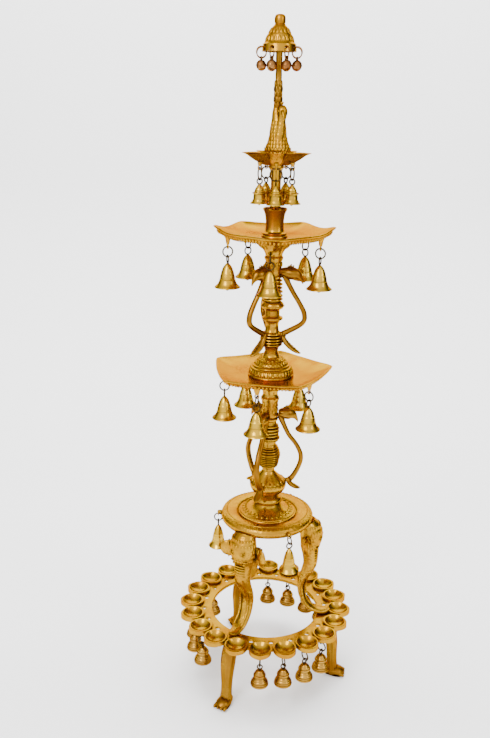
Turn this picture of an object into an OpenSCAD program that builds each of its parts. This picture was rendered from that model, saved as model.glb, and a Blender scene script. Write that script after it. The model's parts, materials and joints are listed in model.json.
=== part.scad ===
// Standing brass oil lamp with three trays, a ring of oil cups on three legs and hanging bells.
// Z is up, the front faces -Y, and the origin is on the floor under the central stem.
// An angle round the stem is 0 at the front and grows towards +X.

/* [Cup ring] */
// Distance from the stem's axis to the middle of each oil cup
cup_circle_r = 143.5; // [138:0.5:150]
// Number of oil cups round the ring
cup_count = 20; // [18:1:21]
// Angle of the first cup, near the front
first_cup_angle = -2.4; // [-4:0.1:4]
// Radius of a cup's mouth
cup_r = 18.5; // [15:0.5:19.5]
// Depth of a cup
cup_depth = 10; // [7:0.5:12]
// Wall of a cup
cup_wall = 2.5; // [1.5:0.1:3.5]
// Height of the cups' mouths over the floor
cup_rim_z = 141.4; // [130:0.2:170]
// How far a cup's pointed tip reaches past the middle of the cup
petal_tip = 23.5; // [22:0.5:26]
// Inner radius of the flat ring
web_inner_r = 102.7; // [96:0.1:108]
// Thickness of the flat ring
web_t = 5; // [4:0.5:7]
// Diameter of the pierced holes between the cups
pierced_d = 10; // [6:0.5:11]
// Distance from the axis to the pierced holes
pierced_circle_r = 118; // [115:0.5:121]

/* [Legs] */
// Angle of the front leg
front_leg_angle = -29.4; // [-32:0.1:-27]
// Angle of the right leg
right_leg_angle = 82; // [78:0.1:86]
// Angle of the back leg
back_leg_angle = -155.4; // [-158:0.1:-153]
// Distance from the axis to the bolts that clamp legs, ring and feet together
leg_bolt_circle_r = 112; // [110:0.5:114]
// Diameter of those bolts
leg_bolt_d = 5; // [4:0.5:6]
// Radius of the round sole under each paw
sole_r = 8; // [6:0.5:10]

/* [Stool] */
// Radius of the round stool top
stool_r = 86.6; // [84:0.2:92]
// Height of the stool's flat seat for the stem
stool_seat_z = 343; // [335:1:380]
// Radius of the recess that takes the stem's flange
stool_recess_r = 56.5; // [56:0.5:62]

/* [Stem] */
// Radius of the lower stem's flange
flange_r = 55; // [50:0.5:55.5]
// Radius of the petal bowl on the lower stem
bowl_r = 36; // [34:0.5:38]
// Radius of the lower stem's ribs
lower_rib_r = 18; // [16:0.5:19]
// Radius of the domed base on the lower tray
dome_r = 40; // [36:0.5:44]
// Radius of the ribs on the upper stem
upper_rib_r = 17; // [15:0.5:18]
// Radius of the waisted column's foot
column_foot_r = 22.4; // [20:0.2:24]
// Radius of the waisted column at its waist
column_waist_r = 15.5; // [13:0.5:17]
// Diameter of the studs that screw the stem together
stud_d = 8; // [6:0.5:9]

/* [Trays] */
// Height of the lower tray's rim
lower_tray_z = 627; // [622:1:640]
// Radius of the lower tray to its corners
lower_tray_r = 113; // [105:1:118]
// Angle of the lower tray's first corner
lower_tray_angle = 27; // [20:1:34]
// Height of the middle tray's rim
middle_tray_z = 875; // [870:1:890]
// Radius of the middle tray to its corners
middle_tray_r = 105; // [98:1:110]
// Angle of the middle tray's first corner
middle_tray_angle = 3; // [-6:1:10]
// Depth of the two large trays
tray_depth = 15; // [12:0.5:18]
// Wall of the trays
tray_wall = 3.2; // [2.5:0.1:4]
// Height of the top tray's lips
top_tray_z = 1004; // [1000:1:1012]
// Radius of the top tray to the tips of its lips
top_tray_r = 60; // [54:1:64]

/* [Bells] */
// Radius of a tray bell's lip
bell_r = 22.3; // [18:0.1:23]
// Height of a tray bell
bell_h = 42; // [36:1:46]
// Distance from the axis to the tray bells
tray_bell_circle_r = 83; // [80:0.5:86]
// Radius of a stool bell's lip
stool_bell_r = 18.3; // [15:0.1:20]
// Distance from the axis to the stool bells
stool_bell_circle_r = 92.5; // [91:0.5:98]
// Radius of a top tray bell's lip
top_bell_r = 15.5; // [13:0.1:16]
// Distance from the axis to the top tray bells
top_bell_circle_r = 28.5; // [28:0.1:31]
// Radius of a cup ring bell's lip
ring_bell_r = 16.5; // [13:0.1:18]
// Distance from the axis to the cup ring bells
ring_bell_circle_r = 138.6; // [136:0.2:141]
// Wall of the bells
bell_wall = 1.6; // [1.2:0.1:2]
// Thickness of the wire rings that the bells hang on
wire_d = 2; // [1.6:0.1:2.2]

/* [Canopy] */
// Radius of the canopy's rim
canopy_r = 28; // [26:0.5:30]
// Height of the canopy's rim
canopy_z = 1160; // [1156:1:1170]
// Height of the canopy without its knob
canopy_h = 40; // [36:1:44]
// Number of jingle bells round the canopy
jingle_count = 8; // [6:1:9]
// Radius of a jingle bell
jingle_r = 8.2; // [6:0.1:9]
// Distance from the axis to the jingle bells
jingle_circle_r = 31; // [29:0.5:33]
// Height of the knob on top
knob_h = 16; // [12:1:20]

/* [Hidden] */
$fn = 72;
gap = 0.3;                 // between parts that move on each other
seat_gap = 0.1;            // round a stud in its bore
web_top_z = cup_rim_z - 5.4;
web_bottom_z = web_top_z - web_t;
leg_angles = [front_leg_angle, right_leg_angle, back_leg_angle];
stool_bottom_z = stool_seat_z - 14;
lower_tray_floor_z = lower_tray_z - tray_depth + tray_wall;
lower_tray_bottom_z = lower_tray_floor_z - tray_wall;
middle_tray_floor_z = middle_tray_z - tray_depth + tray_wall;
middle_tray_bottom_z = middle_tray_floor_z - tray_wall;
top_tray_floor_z = top_tray_z - 18;
top_tray_bottom_z = top_tray_floor_z - tray_wall;
dome_top_z = lower_tray_floor_z + 42;
pole_foot_z = top_tray_floor_z + 88;
canopy_top_z = canopy_z + canopy_h;
lower_bracket_angles = [100, -20, -140];
upper_bracket_angles = [77, -43, -163];
lower_bell_angles = [-89, -16, 55, 139, -146];
middle_bell_angles = [-73, -4, 73, 137, -145];
stool_bell_angles = [-90, 27, 150];
top_bell_angles = [0, 72, 144, -144, -72];
link_d = wire_d + gap;     // step from one wire to the next where two rings hang together

function wrap(a) = a - 360 * round(a / 360);
function cup_angle(i) = first_cup_angle + 360 * i / cup_count;
function pierced_angle(i) = cup_angle(i) + 180 / cup_count;
function off_leg(a) = min([for (l = leg_angles) abs(wrap(a - l))]);
bell_cups = [for (i = [0:cup_count - 1]) if (off_leg(cup_angle(i)) > 14) i];
jingle_angles = [for (i = [0:jingle_count - 1]) 360 * (i + 0.5) / jingle_count];

// ---- helpers ----

// Turns children so that their +X points outwards at angle a round the stem
module at(a) rotate([0, 0, a - 90]) children();

// A turned piece from its half outline
module turned(outline) rotate_extrude() polygon(outline);

// A wire ring round +X or +Y, by its middle diameter
module wire_ring(d, across) {
    rotate(across ? [0, 90, 0] : [90, 0, 0])
        rotate_extrude() translate([d / 2, 0]) circle(d = wire_d, $fn = 24);
}

// A smooth run of values through hand-set stations
function blend(a, b, c, d, t) =
    0.5 * (2 * b + (c - a) * t + (2 * a - 5 * b + 4 * c - d) * t * t + (3 * b - 3 * c + d - a) * t * t * t);
function smooth_run(p, k) = concat(
    [for (i = [0:len(p) - 2], j = [0:k - 1])
        blend(p[max(i - 1, 0)], p[i], p[i + 1], p[min(i + 2, len(p) - 1)], j / k)],
    [p[len(p) - 1]]);
function heading(p, i) =
    let (a = p[max(i - 1, 0)], b = p[min(i + 1, len(p) - 1)], v = [b[0] - a[0], b[1] - a[1]]) v / norm(v);

// A cast limb in the X-Z plane. Each station is [x, z, half width across, half depth].
module limb(stations, steps = 3, sides = 14) {
    p = smooth_run(stations, steps);
    points = [for (i = [0:len(p) - 1]) let (h = heading(p, i)) for (j = [0:sides - 1])
        let (u = 360 * j / sides, q = p[i])
        [q[0] - h[1] * q[3] * cos(u), q[2] * sin(u), q[1] + h[0] * q[3] * cos(u)]];
    sleeve = [for (i = [0:len(p) - 2], j = [0:sides - 1]) let (k = (j + 1) % sides, a = i * sides, b = a + sides)
        [a + j, a + k, b + k, b + j]];
    first = [[for (j = [sides - 1:-1:0]) j]];
    last = [[for (j = [0:sides - 1]) (len(p) - 1) * sides + j]];
    polyhedron(points, concat(sleeve, first, last), convexity = 6);
}

// A tray that is a loop of stations [share of the outline, height], turned round with a shaped edge.
// The edge's radius comes from tray_edge for five straight sides, or star_edge for five lips.
function tray_edge(a, r) =
    let (off = 36 - abs(wrap(5 * a) / 5), side = r * cos(36) / cos(off))
    min(side * 0.8 + r * 0.2, r * 0.985);
function star_edge(a, r) = let (off = abs(wrap(5 * a) / 5) / 36) r * (0.53 + 0.47 * pow(1 - off, 1.5));
module tray(r, angle, stations, star = false) {
    n = 80;
    m = len(stations);
    points = [for (i = [0:n - 1], s = stations)
        let (a = 360 * i / n, edge = star ? star_edge(a, r) : tray_edge(a, r), q = s[2] + s[0] * (edge - s[2]))
        [q * cos(a), q * sin(a), s[1]]];
    skin = [for (i = [0:n - 1], j = [0:m - 1]) let (k = (i + 1) % n, l = (j + 1) % m)
        [i * m + j, i * m + l, k * m + l, k * m + j]];
    at(angle) polyhedron(points, skin, convexity = 6);
}

// An eye that a wire ring hangs through: a tab under a tray with a hole along X or Y
module eye(r, top_z, eye_z, across) {
    half = wire_d + 2.6;
    translate([r, 0, 0]) rotate([0, 0, across ? 90 : 0]) difference() {
        union() {
            translate([-1.25, -half, eye_z]) cube([2.5, 2 * half, top_z - eye_z]);
            translate([-1.25, 0, eye_z]) rotate([0, 90, 0]) cylinder(r = half, h = 2.5);
        }
        translate([-5, 0, eye_z]) rotate([0, 90, 0]) cylinder(r = wire_d / 2 + 1.3, h = 10);
    }
}

// A plain flared bell, its lip at z = 0
module flared_bell(r, h) {
    w = bell_wall;
    turned([[r - w, 0], [r, 0], [r * 0.97, h * 0.03], [r * 0.74, h * 0.14], [r * 0.63, h * 0.28],
            [r * 0.50, h * 0.52], [r * 0.42, h * 0.69], [r * 0.35, h * 0.81], [r * 0.23, h * 0.93],
            [r * 0.1, h], [0, h], [0, h * 0.93 - w], [r * 0.2 - w / 2, h * 0.9 - w],
            [r * 0.35 - w, h * 0.79 - w / 2], [r * 0.42 - w, h * 0.68], [r * 0.50 - w, h * 0.52],
            [r * 0.63 - w, h * 0.28], [r * 0.74 - w, h * 0.14]]);
}

// A bell in two tiers, its lip at z = 0
module tiered_bell(r, h) {
    w = bell_wall;
    turned([[r - w, 0], [r, 0], [r * 1.02, h * 0.08], [r * 0.94, h * 0.22], [r * 0.80, h * 0.37],
            [r * 0.61, h * 0.51], [r * 0.6, h * 0.56], [r * 0.7, h * 0.6], [r * 0.69, h * 0.71],
            [r * 0.55, h * 0.85], [r * 0.33, h * 0.95], [r * 0.12, h], [0, h], [0, h - 1.6 * w],
            [r * 0.33 - w / 2, h * 0.95 - 1.3 * w], [r * 0.55 - w, h * 0.85 - w],
            [r * 0.60 - w, h * 0.68], [r * 0.56 - w, h * 0.55], [r * 0.80 - w, h * 0.34],
            [r * 0.94 - w, h * 0.2]]);
}

// A bell with a ridge round its middle, its lip at z = 0
module ridged_bell(r, h) {
    w = bell_wall;
    turned([[r - w, 0], [r, 0], [r * 0.95, h * 0.04], [r * 0.72, h * 0.16], [r * 0.62, h * 0.36],
            [r * 0.6, h * 0.50], [r * 0.71, h * 0.52], [r * 0.71, h * 0.56], [r * 0.52, h * 0.6],
            [r * 0.42, h * 0.80], [r * 0.25, h * 0.95], [r * 0.12, h], [0, h], [0, h - 1.6 * w],
            [r * 0.2 - w / 3, h * 0.95 - 1.4 * w], [r * 0.42 - w, h * 0.79], [r * 0.52 - w, h * 0.58],
            [r * 0.6 - w, h * 0.5], [r * 0.62 - w, h * 0.36], [r * 0.72 - w, h * 0.15]]);
}

// A clapper fixed to the crown inside a bell, with its weight at the lip
module clapper(h, weight_r, drop) {
    turned([[0, -drop], [weight_r * 0.35, -drop + 0.6], [weight_r, 1.2], [weight_r * 0.7, 4],
            [0.9, 6], [0.9, h], [0, h]]);
}

// A bell with its clapper, the loop on its crown and the rings it hangs on, below an eye at the origin.
// ring_d is the ring in the eye, second_d a further ring or 0, loop_d the loop on the crown.
function bell_lip_drop(ring_d, second_d, loop_d, h) =
    ring_d + (second_d > 0 ? second_d - link_d : 0) + loop_d - link_d + wire_d / 2 - 0.6 + h;
module hung_bell(kind, r, h, ring_d, second_d, loop_d, across, clapper_r, clapper_drop) {
    lip = bell_lip_drop(ring_d, second_d, loop_d, h);
    translate([0, 0, -ring_d / 2]) wire_ring(ring_d, across);
    if (second_d > 0) translate([0, 0, -ring_d + link_d - second_d / 2]) wire_ring(second_d, !across);
    translate([0, 0, -lip]) {
        if (kind == "flared") flared_bell(r, h);
        if (kind == "tiered") tiered_bell(r, h);
        if (kind == "ridged") ridged_bell(r, h);
        clapper(h - bell_wall, clapper_r, clapper_drop);
        translate([0, 0, h + (loop_d + wire_d) / 2 - 0.6])
            wire_ring(loop_d, second_d > 0 ? across : !across);
    }
}

// ---- cup ring and legs ----

// Half outline of a bowl-shaped cup of mouth radius r and depth d, measured from the mouth's middle
function bowl(r, d, n = 8) = let (big = (r * r + d * d) / (2 * d), last = asin(r / big))
    [for (i = [0:n]) let (t = last * i / n) [big * sin(t), big - d - big * cos(t)]];

module diya_ring() color("goldenrod") difference() {
    union() {
        turned([[web_inner_r, web_bottom_z], [cup_circle_r - 3, web_bottom_z],
                [cup_circle_r - 3, web_top_z], [web_inner_r + 1, web_top_z], [web_inner_r, web_top_z - 1]]);
        for (i = [0:cup_count - 1]) at(cup_angle(i)) translate([cup_circle_r, 0, cup_rim_z]) {
            turned(concat(bowl(cup_r + cup_wall, cup_depth + cup_wall), [[0, 0]]));
            translate([0, 0, web_bottom_z + 1.5 - cup_rim_z]) petal(cup_rim_z - web_bottom_z - 2);
        }
        for (i = bell_cups) at(cup_angle(i))
            eye(ring_bell_circle_r, cup_rim_z - cup_depth - 0.8, ring_eye_z(), true);
    }
    for (i = [0:cup_count - 1]) at(cup_angle(i)) translate([cup_circle_r, 0, cup_rim_z])
        turned(concat(bowl(cup_r, cup_depth), [[cup_r, 3], [0, 3]]));
    for (i = [0:cup_count - 1]) if (off_leg(pierced_angle(i)) > 9) at(pierced_angle(i))
        translate([pierced_circle_r, 0, web_bottom_z - 1]) cylinder(d = pierced_d, h = web_t + 2);
    for (a = leg_angles) at(a)
        translate([leg_bolt_circle_r, 0, web_bottom_z - 1]) cylinder(d = leg_bolt_d + 2 * seat_gap, h = web_t + 2);
}

// A cup's leaf shape, where two round arcs cross in a tip
module petal(h) {
    half_w = cup_r + cup_wall - 0.4;
    arc_r = (half_w * half_w + petal_tip * petal_tip) / (2 * half_w);
    intersection() {
        translate([0, arc_r - half_w, 0]) cylinder(r = arc_r, h = h);
        translate([0, half_w - arc_r, 0]) cylinder(r = arc_r, h = h);
    }
}

function ring_eye_z() = cup_rim_z - cup_depth - cup_wall - 3.5;

// An elephant-headed leg: crown, trunk that narrows to an ankle, and a tongue that lies on the ring
module leg(a) color("darkgoldenrod") at(a) difference() {
    union() {
        limb([[78, stool_bottom_z, 20, 15], [81, stool_bottom_z - 12, 22, 18], [81, 300, 21, 18.5],
              [80, 283, 18, 15], [80, 270, 16, 13], [84, 256, 15, 14], [84, 244, 15, 14],
              [80, 228, 13, 9.5], [73, 210, 11.5, 7], [70, 196, 11, 6.5], [72, 178, 11, 6],
              [78, 162, 10.5, 6], [88, 149, 10, 5.6], [101, web_top_z + 4.8, 10, 5.4],
              [112, web_top_z + 4, 10, 5.2], [118, web_top_z + 4, 8, 5], [121, web_top_z + 3.6, 4, 3.5]]);
        for (side = [-1, 1]) translate([84, 17 * side, 302]) rotate([0, 0, 90 + 14 * side])
            limb([[-13, 0, 2.6, 6], [-8, 0, 4, 11], [0, 0, 4.4, 13.5], [8, 0, 4, 12], [12.5, 0, 2.6, 6]], 2, 12);
    }
    translate([90, -30, web_top_z - 20]) cube([60, 60, 20]);
    translate([leg_bolt_circle_r, 0, web_top_z - 1]) cylinder(d = leg_bolt_d + 2 * seat_gap, h = 8);
    translate([79, 0, stool_bottom_z - 10]) cylinder(d = leg_bolt_d + 2 * seat_gap, h = 11);
    translate([0, -60, stool_bottom_z]) cube([120, 120, 20]);
}

module front_leg() leg(front_leg_angle);
module right_leg() leg(right_leg_angle);
module back_leg() leg(back_leg_angle);

// The fluted shin and paw under the ring, on a round sole
module paw_foot() difference() {
    union() {
        limb([[115, web_bottom_z - 5.5, 10, 7], [123, 118, 12.5, 10], [129, 104, 13, 11], [133, 84, 13, 11],
              [135, 60, 11, 10], [136, 38, 10, 9], [137, 22, 10, 9.5], [139, 10, 11.5, 10]]);
        limb([[127, 9, 9, 6.5], [134, 9.5, 12, 8.5], [146, 9.5, 13.5, 8.8], [156, 8, 12, 7.4], [164, 5.5, 6, 4.2]]);
        translate([143, 0, 0]) cylinder(r = sole_r, h = 6);
        translate([leg_bolt_circle_r, 0, web_bottom_z - 9]) cylinder(r = 8.5, h = 9);
    }
    translate([leg_bolt_circle_r, 0, web_bottom_z - 7]) cylinder(d = leg_bolt_d + 2 * seat_gap, h = 8);
}
module paw_feet() color("darkgoldenrod") for (a = leg_angles) at(a) paw_foot();

module stool_top() color("goldenrod") difference() {
    union() {
        turned([[0, stool_seat_z - 7], [70, stool_seat_z - 7], [74, stool_bottom_z],
                [stool_r - 4, stool_bottom_z], [stool_r - 0.8, stool_seat_z - 9], [stool_r, stool_seat_z - 3],
                [stool_r - 2.5, stool_seat_z + 1.5], [stool_r - 11, stool_seat_z + 5],
                [stool_r - 21, stool_seat_z + 5.5], [stool_recess_r + 1.5, stool_seat_z + 3],
                [stool_recess_r, stool_seat_z], [0, stool_seat_z]]);
        for (a = stool_bell_angles) at(a) {
            eye(stool_bell_circle_r, stool_seat_z - 2, stool_eye_z(), false);
            translate([stool_r - 6, -2, stool_seat_z - 6]) cube([stool_bell_circle_r - stool_r + 6, 4, 4]);
        }
    }
    translate([0, 0, stool_seat_z - 8]) cylinder(d = stud_d + 2 * seat_gap, h = 10);
    for (a = leg_angles) at(a)
        translate([79, 0, stool_bottom_z - 1]) cylinder(d = leg_bolt_d + 2 * seat_gap, h = 8);
}
function stool_eye_z() = stool_seat_z - 8;

// ---- stem ----

// Ribs of one turned stretch, as outline points from z0 up to z1
function ribs(r, depth, z0, z1, n) = [for (i = [0:n - 1]) let (s = (z1 - z0) / n, z = z0 + i * s)
    each [[r - depth, z + 0.1 * s], [r, z + 0.35 * s], [r, z + 0.65 * s], [r - depth, z + 0.9 * s]]];

module lower_stem() color("goldenrod") difference() {
    z = stool_seat_z;
    top = lower_tray_bottom_z;
    turned(concat(
        [[0, z], [flange_r, z], [flange_r, z + 3], [flange_r - 4, z + 7], [36, z + 15], [22, z + 20],
         [22, z + 22], [24, z + 26], [24, z + 32], [21, z + 36], [17, z + 39],
         [24, z + 42], [bowl_r - 4, z + 50], [bowl_r, z + 60], [bowl_r - 3, z + 68], [22, z + 76],
         [12, z + 86], [11, z + 90], [17, z + 98], [21, z + 108], [21, z + 130], [17, z + 137]],
        ribs(lower_rib_r, 4, z + 140, z + 186, 5),
        [[13, z + 190], [19, z + 196], [20, z + 212], [16, z + 222], [14, z + 226],
         [18, z + 232], [18, z + 244], [26, top - 14], [34, top - 6], [36, top], [0, top]]));
    translate([0, 0, z - 1]) cylinder(d = stud_d + 2 * seat_gap, h = 15);
    translate([0, 0, top - 14]) cylinder(d = stud_d + 2 * seat_gap, h = 15);
}

// A bird's head on a long curved neck, with a leaf at its foot
module bird_bracket(head_z, bulge_r, root_r, foot_r, foot_z, tail, dip) {
    drop = head_z - foot_z;
    limb([[root_r, head_z, 4, 4], [26, head_z, 6.5, 6.5], [34, head_z - 2, 7.5, 8.5],
          [43, head_z - 6, 5.5, 6], [50, head_z - 12, 2.6, 3], [54, head_z - 16, 1, 1.2]], 2, 12);
    limb([[33, head_z - 2, 5, 5], [28, head_z - 0.17 * drop, 5.4, 5], [34, head_z - 0.34 * drop, 5, 4.6],
          [bulge_r - 6, head_z - 0.52 * drop, 5.4, 4.6], [bulge_r, head_z - 0.66 * drop, 5.6, 4.8],
          [bulge_r - 4, head_z - 0.80 * drop, 5.2, 4.6], [foot_r + 8, foot_z + 3, 5, 4.4], [foot_r, foot_z, 4.6, 4]],
         3, 12);
    limb([[foot_r + 4, foot_z + 1, 4, 3], [foot_r + 0.3 * tail, foot_z - 0.4 * dip, 6, 2.6],
          [foot_r + 0.6 * tail, foot_z - 0.75 * dip, 6.4, 2.2], [foot_r + 0.87 * tail, foot_z - 0.95 * dip, 4.4, 1.6],
          [foot_r + tail, foot_z - dip, 1.2, 1]], 2, 12);
    limb([[30, head_z + 4, 2, 4], [29, head_z + 12, 1.6, 3], [31, head_z + 20, 0.8, 1]], 2, 12);
}
module lower_bird_brackets() color("peru") for (a = lower_bracket_angles) at(a)
    bird_bracket(stool_seat_z + 198, 61, 17, bowl_r - 2, stool_seat_z + 62, 28, 16);

module lower_tray() color("gold") difference() {
    union() {
        tray(lower_tray_r, lower_tray_angle, large_tray_stations(lower_tray_z));
        for (a = lower_bell_angles) at(a)
            eye(tray_bell_circle_r, lower_tray_z - 7, tray_eye_z(lower_tray_z), false);
    }
    translate([0, 0, lower_tray_bottom_z - 1]) cylinder(d = stud_d + 2 * seat_gap, h = tray_wall + 2);
}

// Stations of a large tray: share of the way from the hub to the edge, height, hub radius
function large_tray_stations(z) = let (b = z - tray_depth, h = 3) [
    [0, b, h], [0.55, b, h], [0.80, b + 4, h], [0.93, z - 5, h], [1, z - 2.2, h], [1, z, h],
    [0.955, z - 0.8, h], [0.9, z - 3.5, h], [0.78, b + tray_wall + 3, h], [0.52, b + tray_wall, h],
    [0, b + tray_wall, h]];
function tray_eye_z(z) = z - 26.5;

module dome_base() color("goldenrod") difference() {
    z = lower_tray_floor_z;
    turned([[0, z], [dome_r, z], [dome_r + 1, z + 3], [dome_r - 2, z + 9], [dome_r - 2, z + 13],
            [dome_r - 6, z + 15], [dome_r - 9, z + 22], [dome_r - 15, z + 29], [17, z + 34],
            [14, z + 38], [14, dome_top_z], [0, dome_top_z]]);
    translate([0, 0, z - 1]) cylinder(d = stud_d + 2 * seat_gap, h = 15);
    translate([0, 0, dome_top_z - 12]) cylinder(d = stud_d + 2 * seat_gap, h = 13);
}

module upper_stem() color("goldenrod") difference() {
    z = dome_top_z;
    top = middle_tray_bottom_z;
    turned(concat(
        [[0, z], [12, z], [12, z + 8], [14, z + 12]],
        ribs(18, 3, z + 13, z + 36, 3),
        [[14.5, z + 39], [12, z + 43], [12, z + 56], [18.5, z + 62], [18.5, z + 65], [13, z + 68],
         [13, z + 80], [19, z + 84], [20, z + 89], [17, z + 94]],
        ribs(upper_rib_r, 3, z + 97, z + 145, 5),
        [[15, z + 148], [15, top - 34], [20, top - 22], [24, top - 8], [24, top], [0, top]]));
    translate([0, 0, z - 1]) cylinder(d = stud_d + 2 * seat_gap, h = 13);
    translate([0, 0, top - 14]) cylinder(d = stud_d + 2 * seat_gap, h = 15);
}
module upper_bird_brackets() color("peru") for (a = upper_bracket_angles) at(a)
    bird_bracket(dome_top_z + 146, 57, 13, 13.5, dome_top_z + 33, 39, 30);

module middle_tray() color("gold") difference() {
    union() {
        tray(middle_tray_r, middle_tray_angle, large_tray_stations(middle_tray_z));
        for (a = middle_bell_angles) at(a)
            eye(tray_bell_circle_r - 1, middle_tray_z - 9.6, tray_eye_z(middle_tray_z), false);
    }
    translate([0, 0, middle_tray_bottom_z - 1]) cylinder(d = stud_d + 2 * seat_gap, h = tray_wall + 2);
}

module waisted_column() color("gold") difference() {
    z = middle_tray_floor_z;
    top = top_tray_bottom_z;
    turned([[0, z], [column_foot_r, z], [column_foot_r, z + 3], [column_foot_r - 3, z + 5],
            [column_foot_r - 1, z + 8], [column_waist_r + 1, z + 11], [column_waist_r, z + 20],
            [column_waist_r + 0.6, z + 31], [column_waist_r + 2.5, z + 40], [21, z + 47], [20, z + 49],
            [8.5, z + 51], [8.5, top - 9], [13, top - 4], [13, top], [0, top]]);
    translate([0, 0, z - 1]) cylinder(d = stud_d + 2 * seat_gap, h = 15);
    translate([0, 0, top - 12]) cylinder(d = stud_d + 2 * seat_gap, h = 13);
}

module top_tray() color("gold") difference() {
    z = top_tray_z;
    b = top_tray_bottom_z;
    w = tray_wall;
    union() {
        tray(top_tray_r, 0, [[0, b, 3], [0.32, b, 3], [0.55, b + 5, 3], [0.82, z - 6, 3], [1, z - 1.5, 3],
                             [1, z, 3], [0.94, z - 0.6, 3], [0.8, z - 3, 3], [0.52, b + w + 5, 3],
                             [0.3, b + w, 3], [0, b + w, 3]], true);
        for (a = top_bell_angles) at(a) eye(top_bell_circle_r, b + 4.5, top_eye_z(), true);
    }
    translate([0, 0, b - 1]) cylinder(d = stud_d + 2 * seat_gap, h = w + 2);
}
function top_eye_z() = top_tray_bottom_z - 4;

// ---- peacock and canopy ----

module peacock() color("goldenrod") difference() {
    z = top_tray_floor_z;
    union() {
        rotate([0, 0, 90]) limb([[0, z, 9, 9], [0, z + 8, 12, 12], [0, z + 20, 21, 17], [0, z + 32, 23, 18],
                                 [0, z + 42, 17, 14], [0, z + 54, 12, 10.5], [0, z + 72, 9, 8], [0, z + 88, 7, 7]], 3, 20);
        translate([8, -7, 0]) limb([[-2, z + 46, 6, 6], [1, z + 66, 5.6, 6], [1.5, z + 84, 5.4, 6],
                                    [1.5, z + 96, 5.6, 6.2], [0.5, z + 105, 4, 4.2], [0, z + 110, 1.5, 1.5]], 2, 14);
        translate([9, -8, 0]) rotate([0, 0, -40])
            limb([[1, z + 98, 3, 3.4], [7, z + 94, 2, 2.4], [12, z + 89, 0.8, 0.8]], 2, 10);
    }
    translate([0, 0, z - 1]) cylinder(d = stud_d + 2 * seat_gap, h = 15);
    translate([0, 0, pole_foot_z]) cylinder(r = 7.4, h = 40);
}

module canopy_pole() color("peru") difference() {
    turned([[0, pole_foot_z], [6.4, pole_foot_z], [6.8, pole_foot_z + 12], [6.2, pole_foot_z + 30],
            [5.4, canopy_z - 20], [5.4, canopy_z + 12], [9, canopy_z + 22], [9, canopy_top_z - 12], [0, canopy_top_z - 12]]);
    translate([0, 0, canopy_top_z - 20]) cylinder(d = 5 + 2 * seat_gap, h = 9);
}

function band_hole_z() = canopy_z + 6;
module canopy() color("gold") difference() {
    z = canopy_z;
    t = canopy_top_z;
    turned([[canopy_r - 2, z], [canopy_r, z], [canopy_r - 1, z + 11], [canopy_r - 5, z + 15],
            [canopy_r - 8, z + 25], [canopy_r - 12, z + 30], [canopy_r - 15, t - 4], [9, t], [0, t],
            [0, t - 12], [10, t - 12], [canopy_r - 18, t - 13], [canopy_r - 14, z + 24], [canopy_r - 7, z + 14],
            [canopy_r - 3.2, z + 10]]);
    translate([0, 0, t - 13]) cylinder(d = 5 + 2 * seat_gap, h = 15);
    for (a = jingle_angles) at(a) translate([0, 0, band_hole_z()]) rotate([0, 90, 0]) cylinder(d = wire_d + 3.4, h = 40);
}
module canopy_knob() color("gold") difference() {
    z = canopy_top_z;
    turned([[0, z], [8.6, z], [9, z + 3], [9, z + 10], [7.6, z + knob_h - 2], [4, z + knob_h], [0, z + knob_h]]);
    translate([0, 0, z - 1]) cylinder(d = 5 + 2 * seat_gap, h = 9);
}

// The studs and bolts that hold the pieces together, all hidden inside
module assembly_studs() color("gray") {
    stud(stool_seat_z - 6.5, stool_seat_z + 13);
    stud(lower_tray_bottom_z - 13, lower_tray_floor_z + 13);
    stud(dome_top_z - 11, dome_top_z + 11);
    stud(middle_tray_bottom_z - 13, middle_tray_floor_z + 13);
    stud(top_tray_bottom_z - 11, top_tray_floor_z + 13);
    translate([0, 0, canopy_top_z - 19]) cylinder(d = 5, h = 26);
    for (a = leg_angles) at(a) {
        translate([leg_bolt_circle_r, 0, web_bottom_z - 6]) cylinder(d = leg_bolt_d, h = web_t + 12);
        translate([79, 0, stool_bottom_z - 9]) cylinder(d = leg_bolt_d, h = 15);
    }
}
module stud(z0, z1) translate([0, 0, z0]) cylinder(d = stud_d, h = z1 - z0);

// ---- bells ----

module ring_bell(i) color("goldenrod") at(cup_angle(bell_cups[i - 1])) translate([ring_bell_circle_r, 0, ring_eye_z()])
    hung_bell("tiered", ring_bell_r, 32, 10, 18, 9, true, 3.2, 3);
module stool_bell(i) color("goldenrod") at(stool_bell_angles[i - 1])
    translate([stool_bell_circle_r, 0, stool_eye_z()])
    hung_bell("flared", stool_bell_r, 44, 15, 0, 11, false, 3.4, 5);
module lower_bell(i) color("goldenrod") at(lower_bell_angles[i - 1])
    translate([tray_bell_circle_r, 0, tray_eye_z(lower_tray_z)])
    hung_bell("flared", bell_r, bell_h, 17, 0, 13, false, 4, 6);
module middle_bell(i) color("goldenrod") at(middle_bell_angles[i - 1])
    translate([tray_bell_circle_r - 1, 0, tray_eye_z(middle_tray_z)])
    hung_bell("flared", bell_r, bell_h, 17, 0, 13, false, 4, 6);
module top_bell(i) color("goldenrod") at(top_bell_angles[i - 1]) translate([top_bell_circle_r, 0, top_eye_z()])
    hung_bell("ridged", top_bell_r, 32, 20, 0, 9, true, 3.2, 3);

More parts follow.
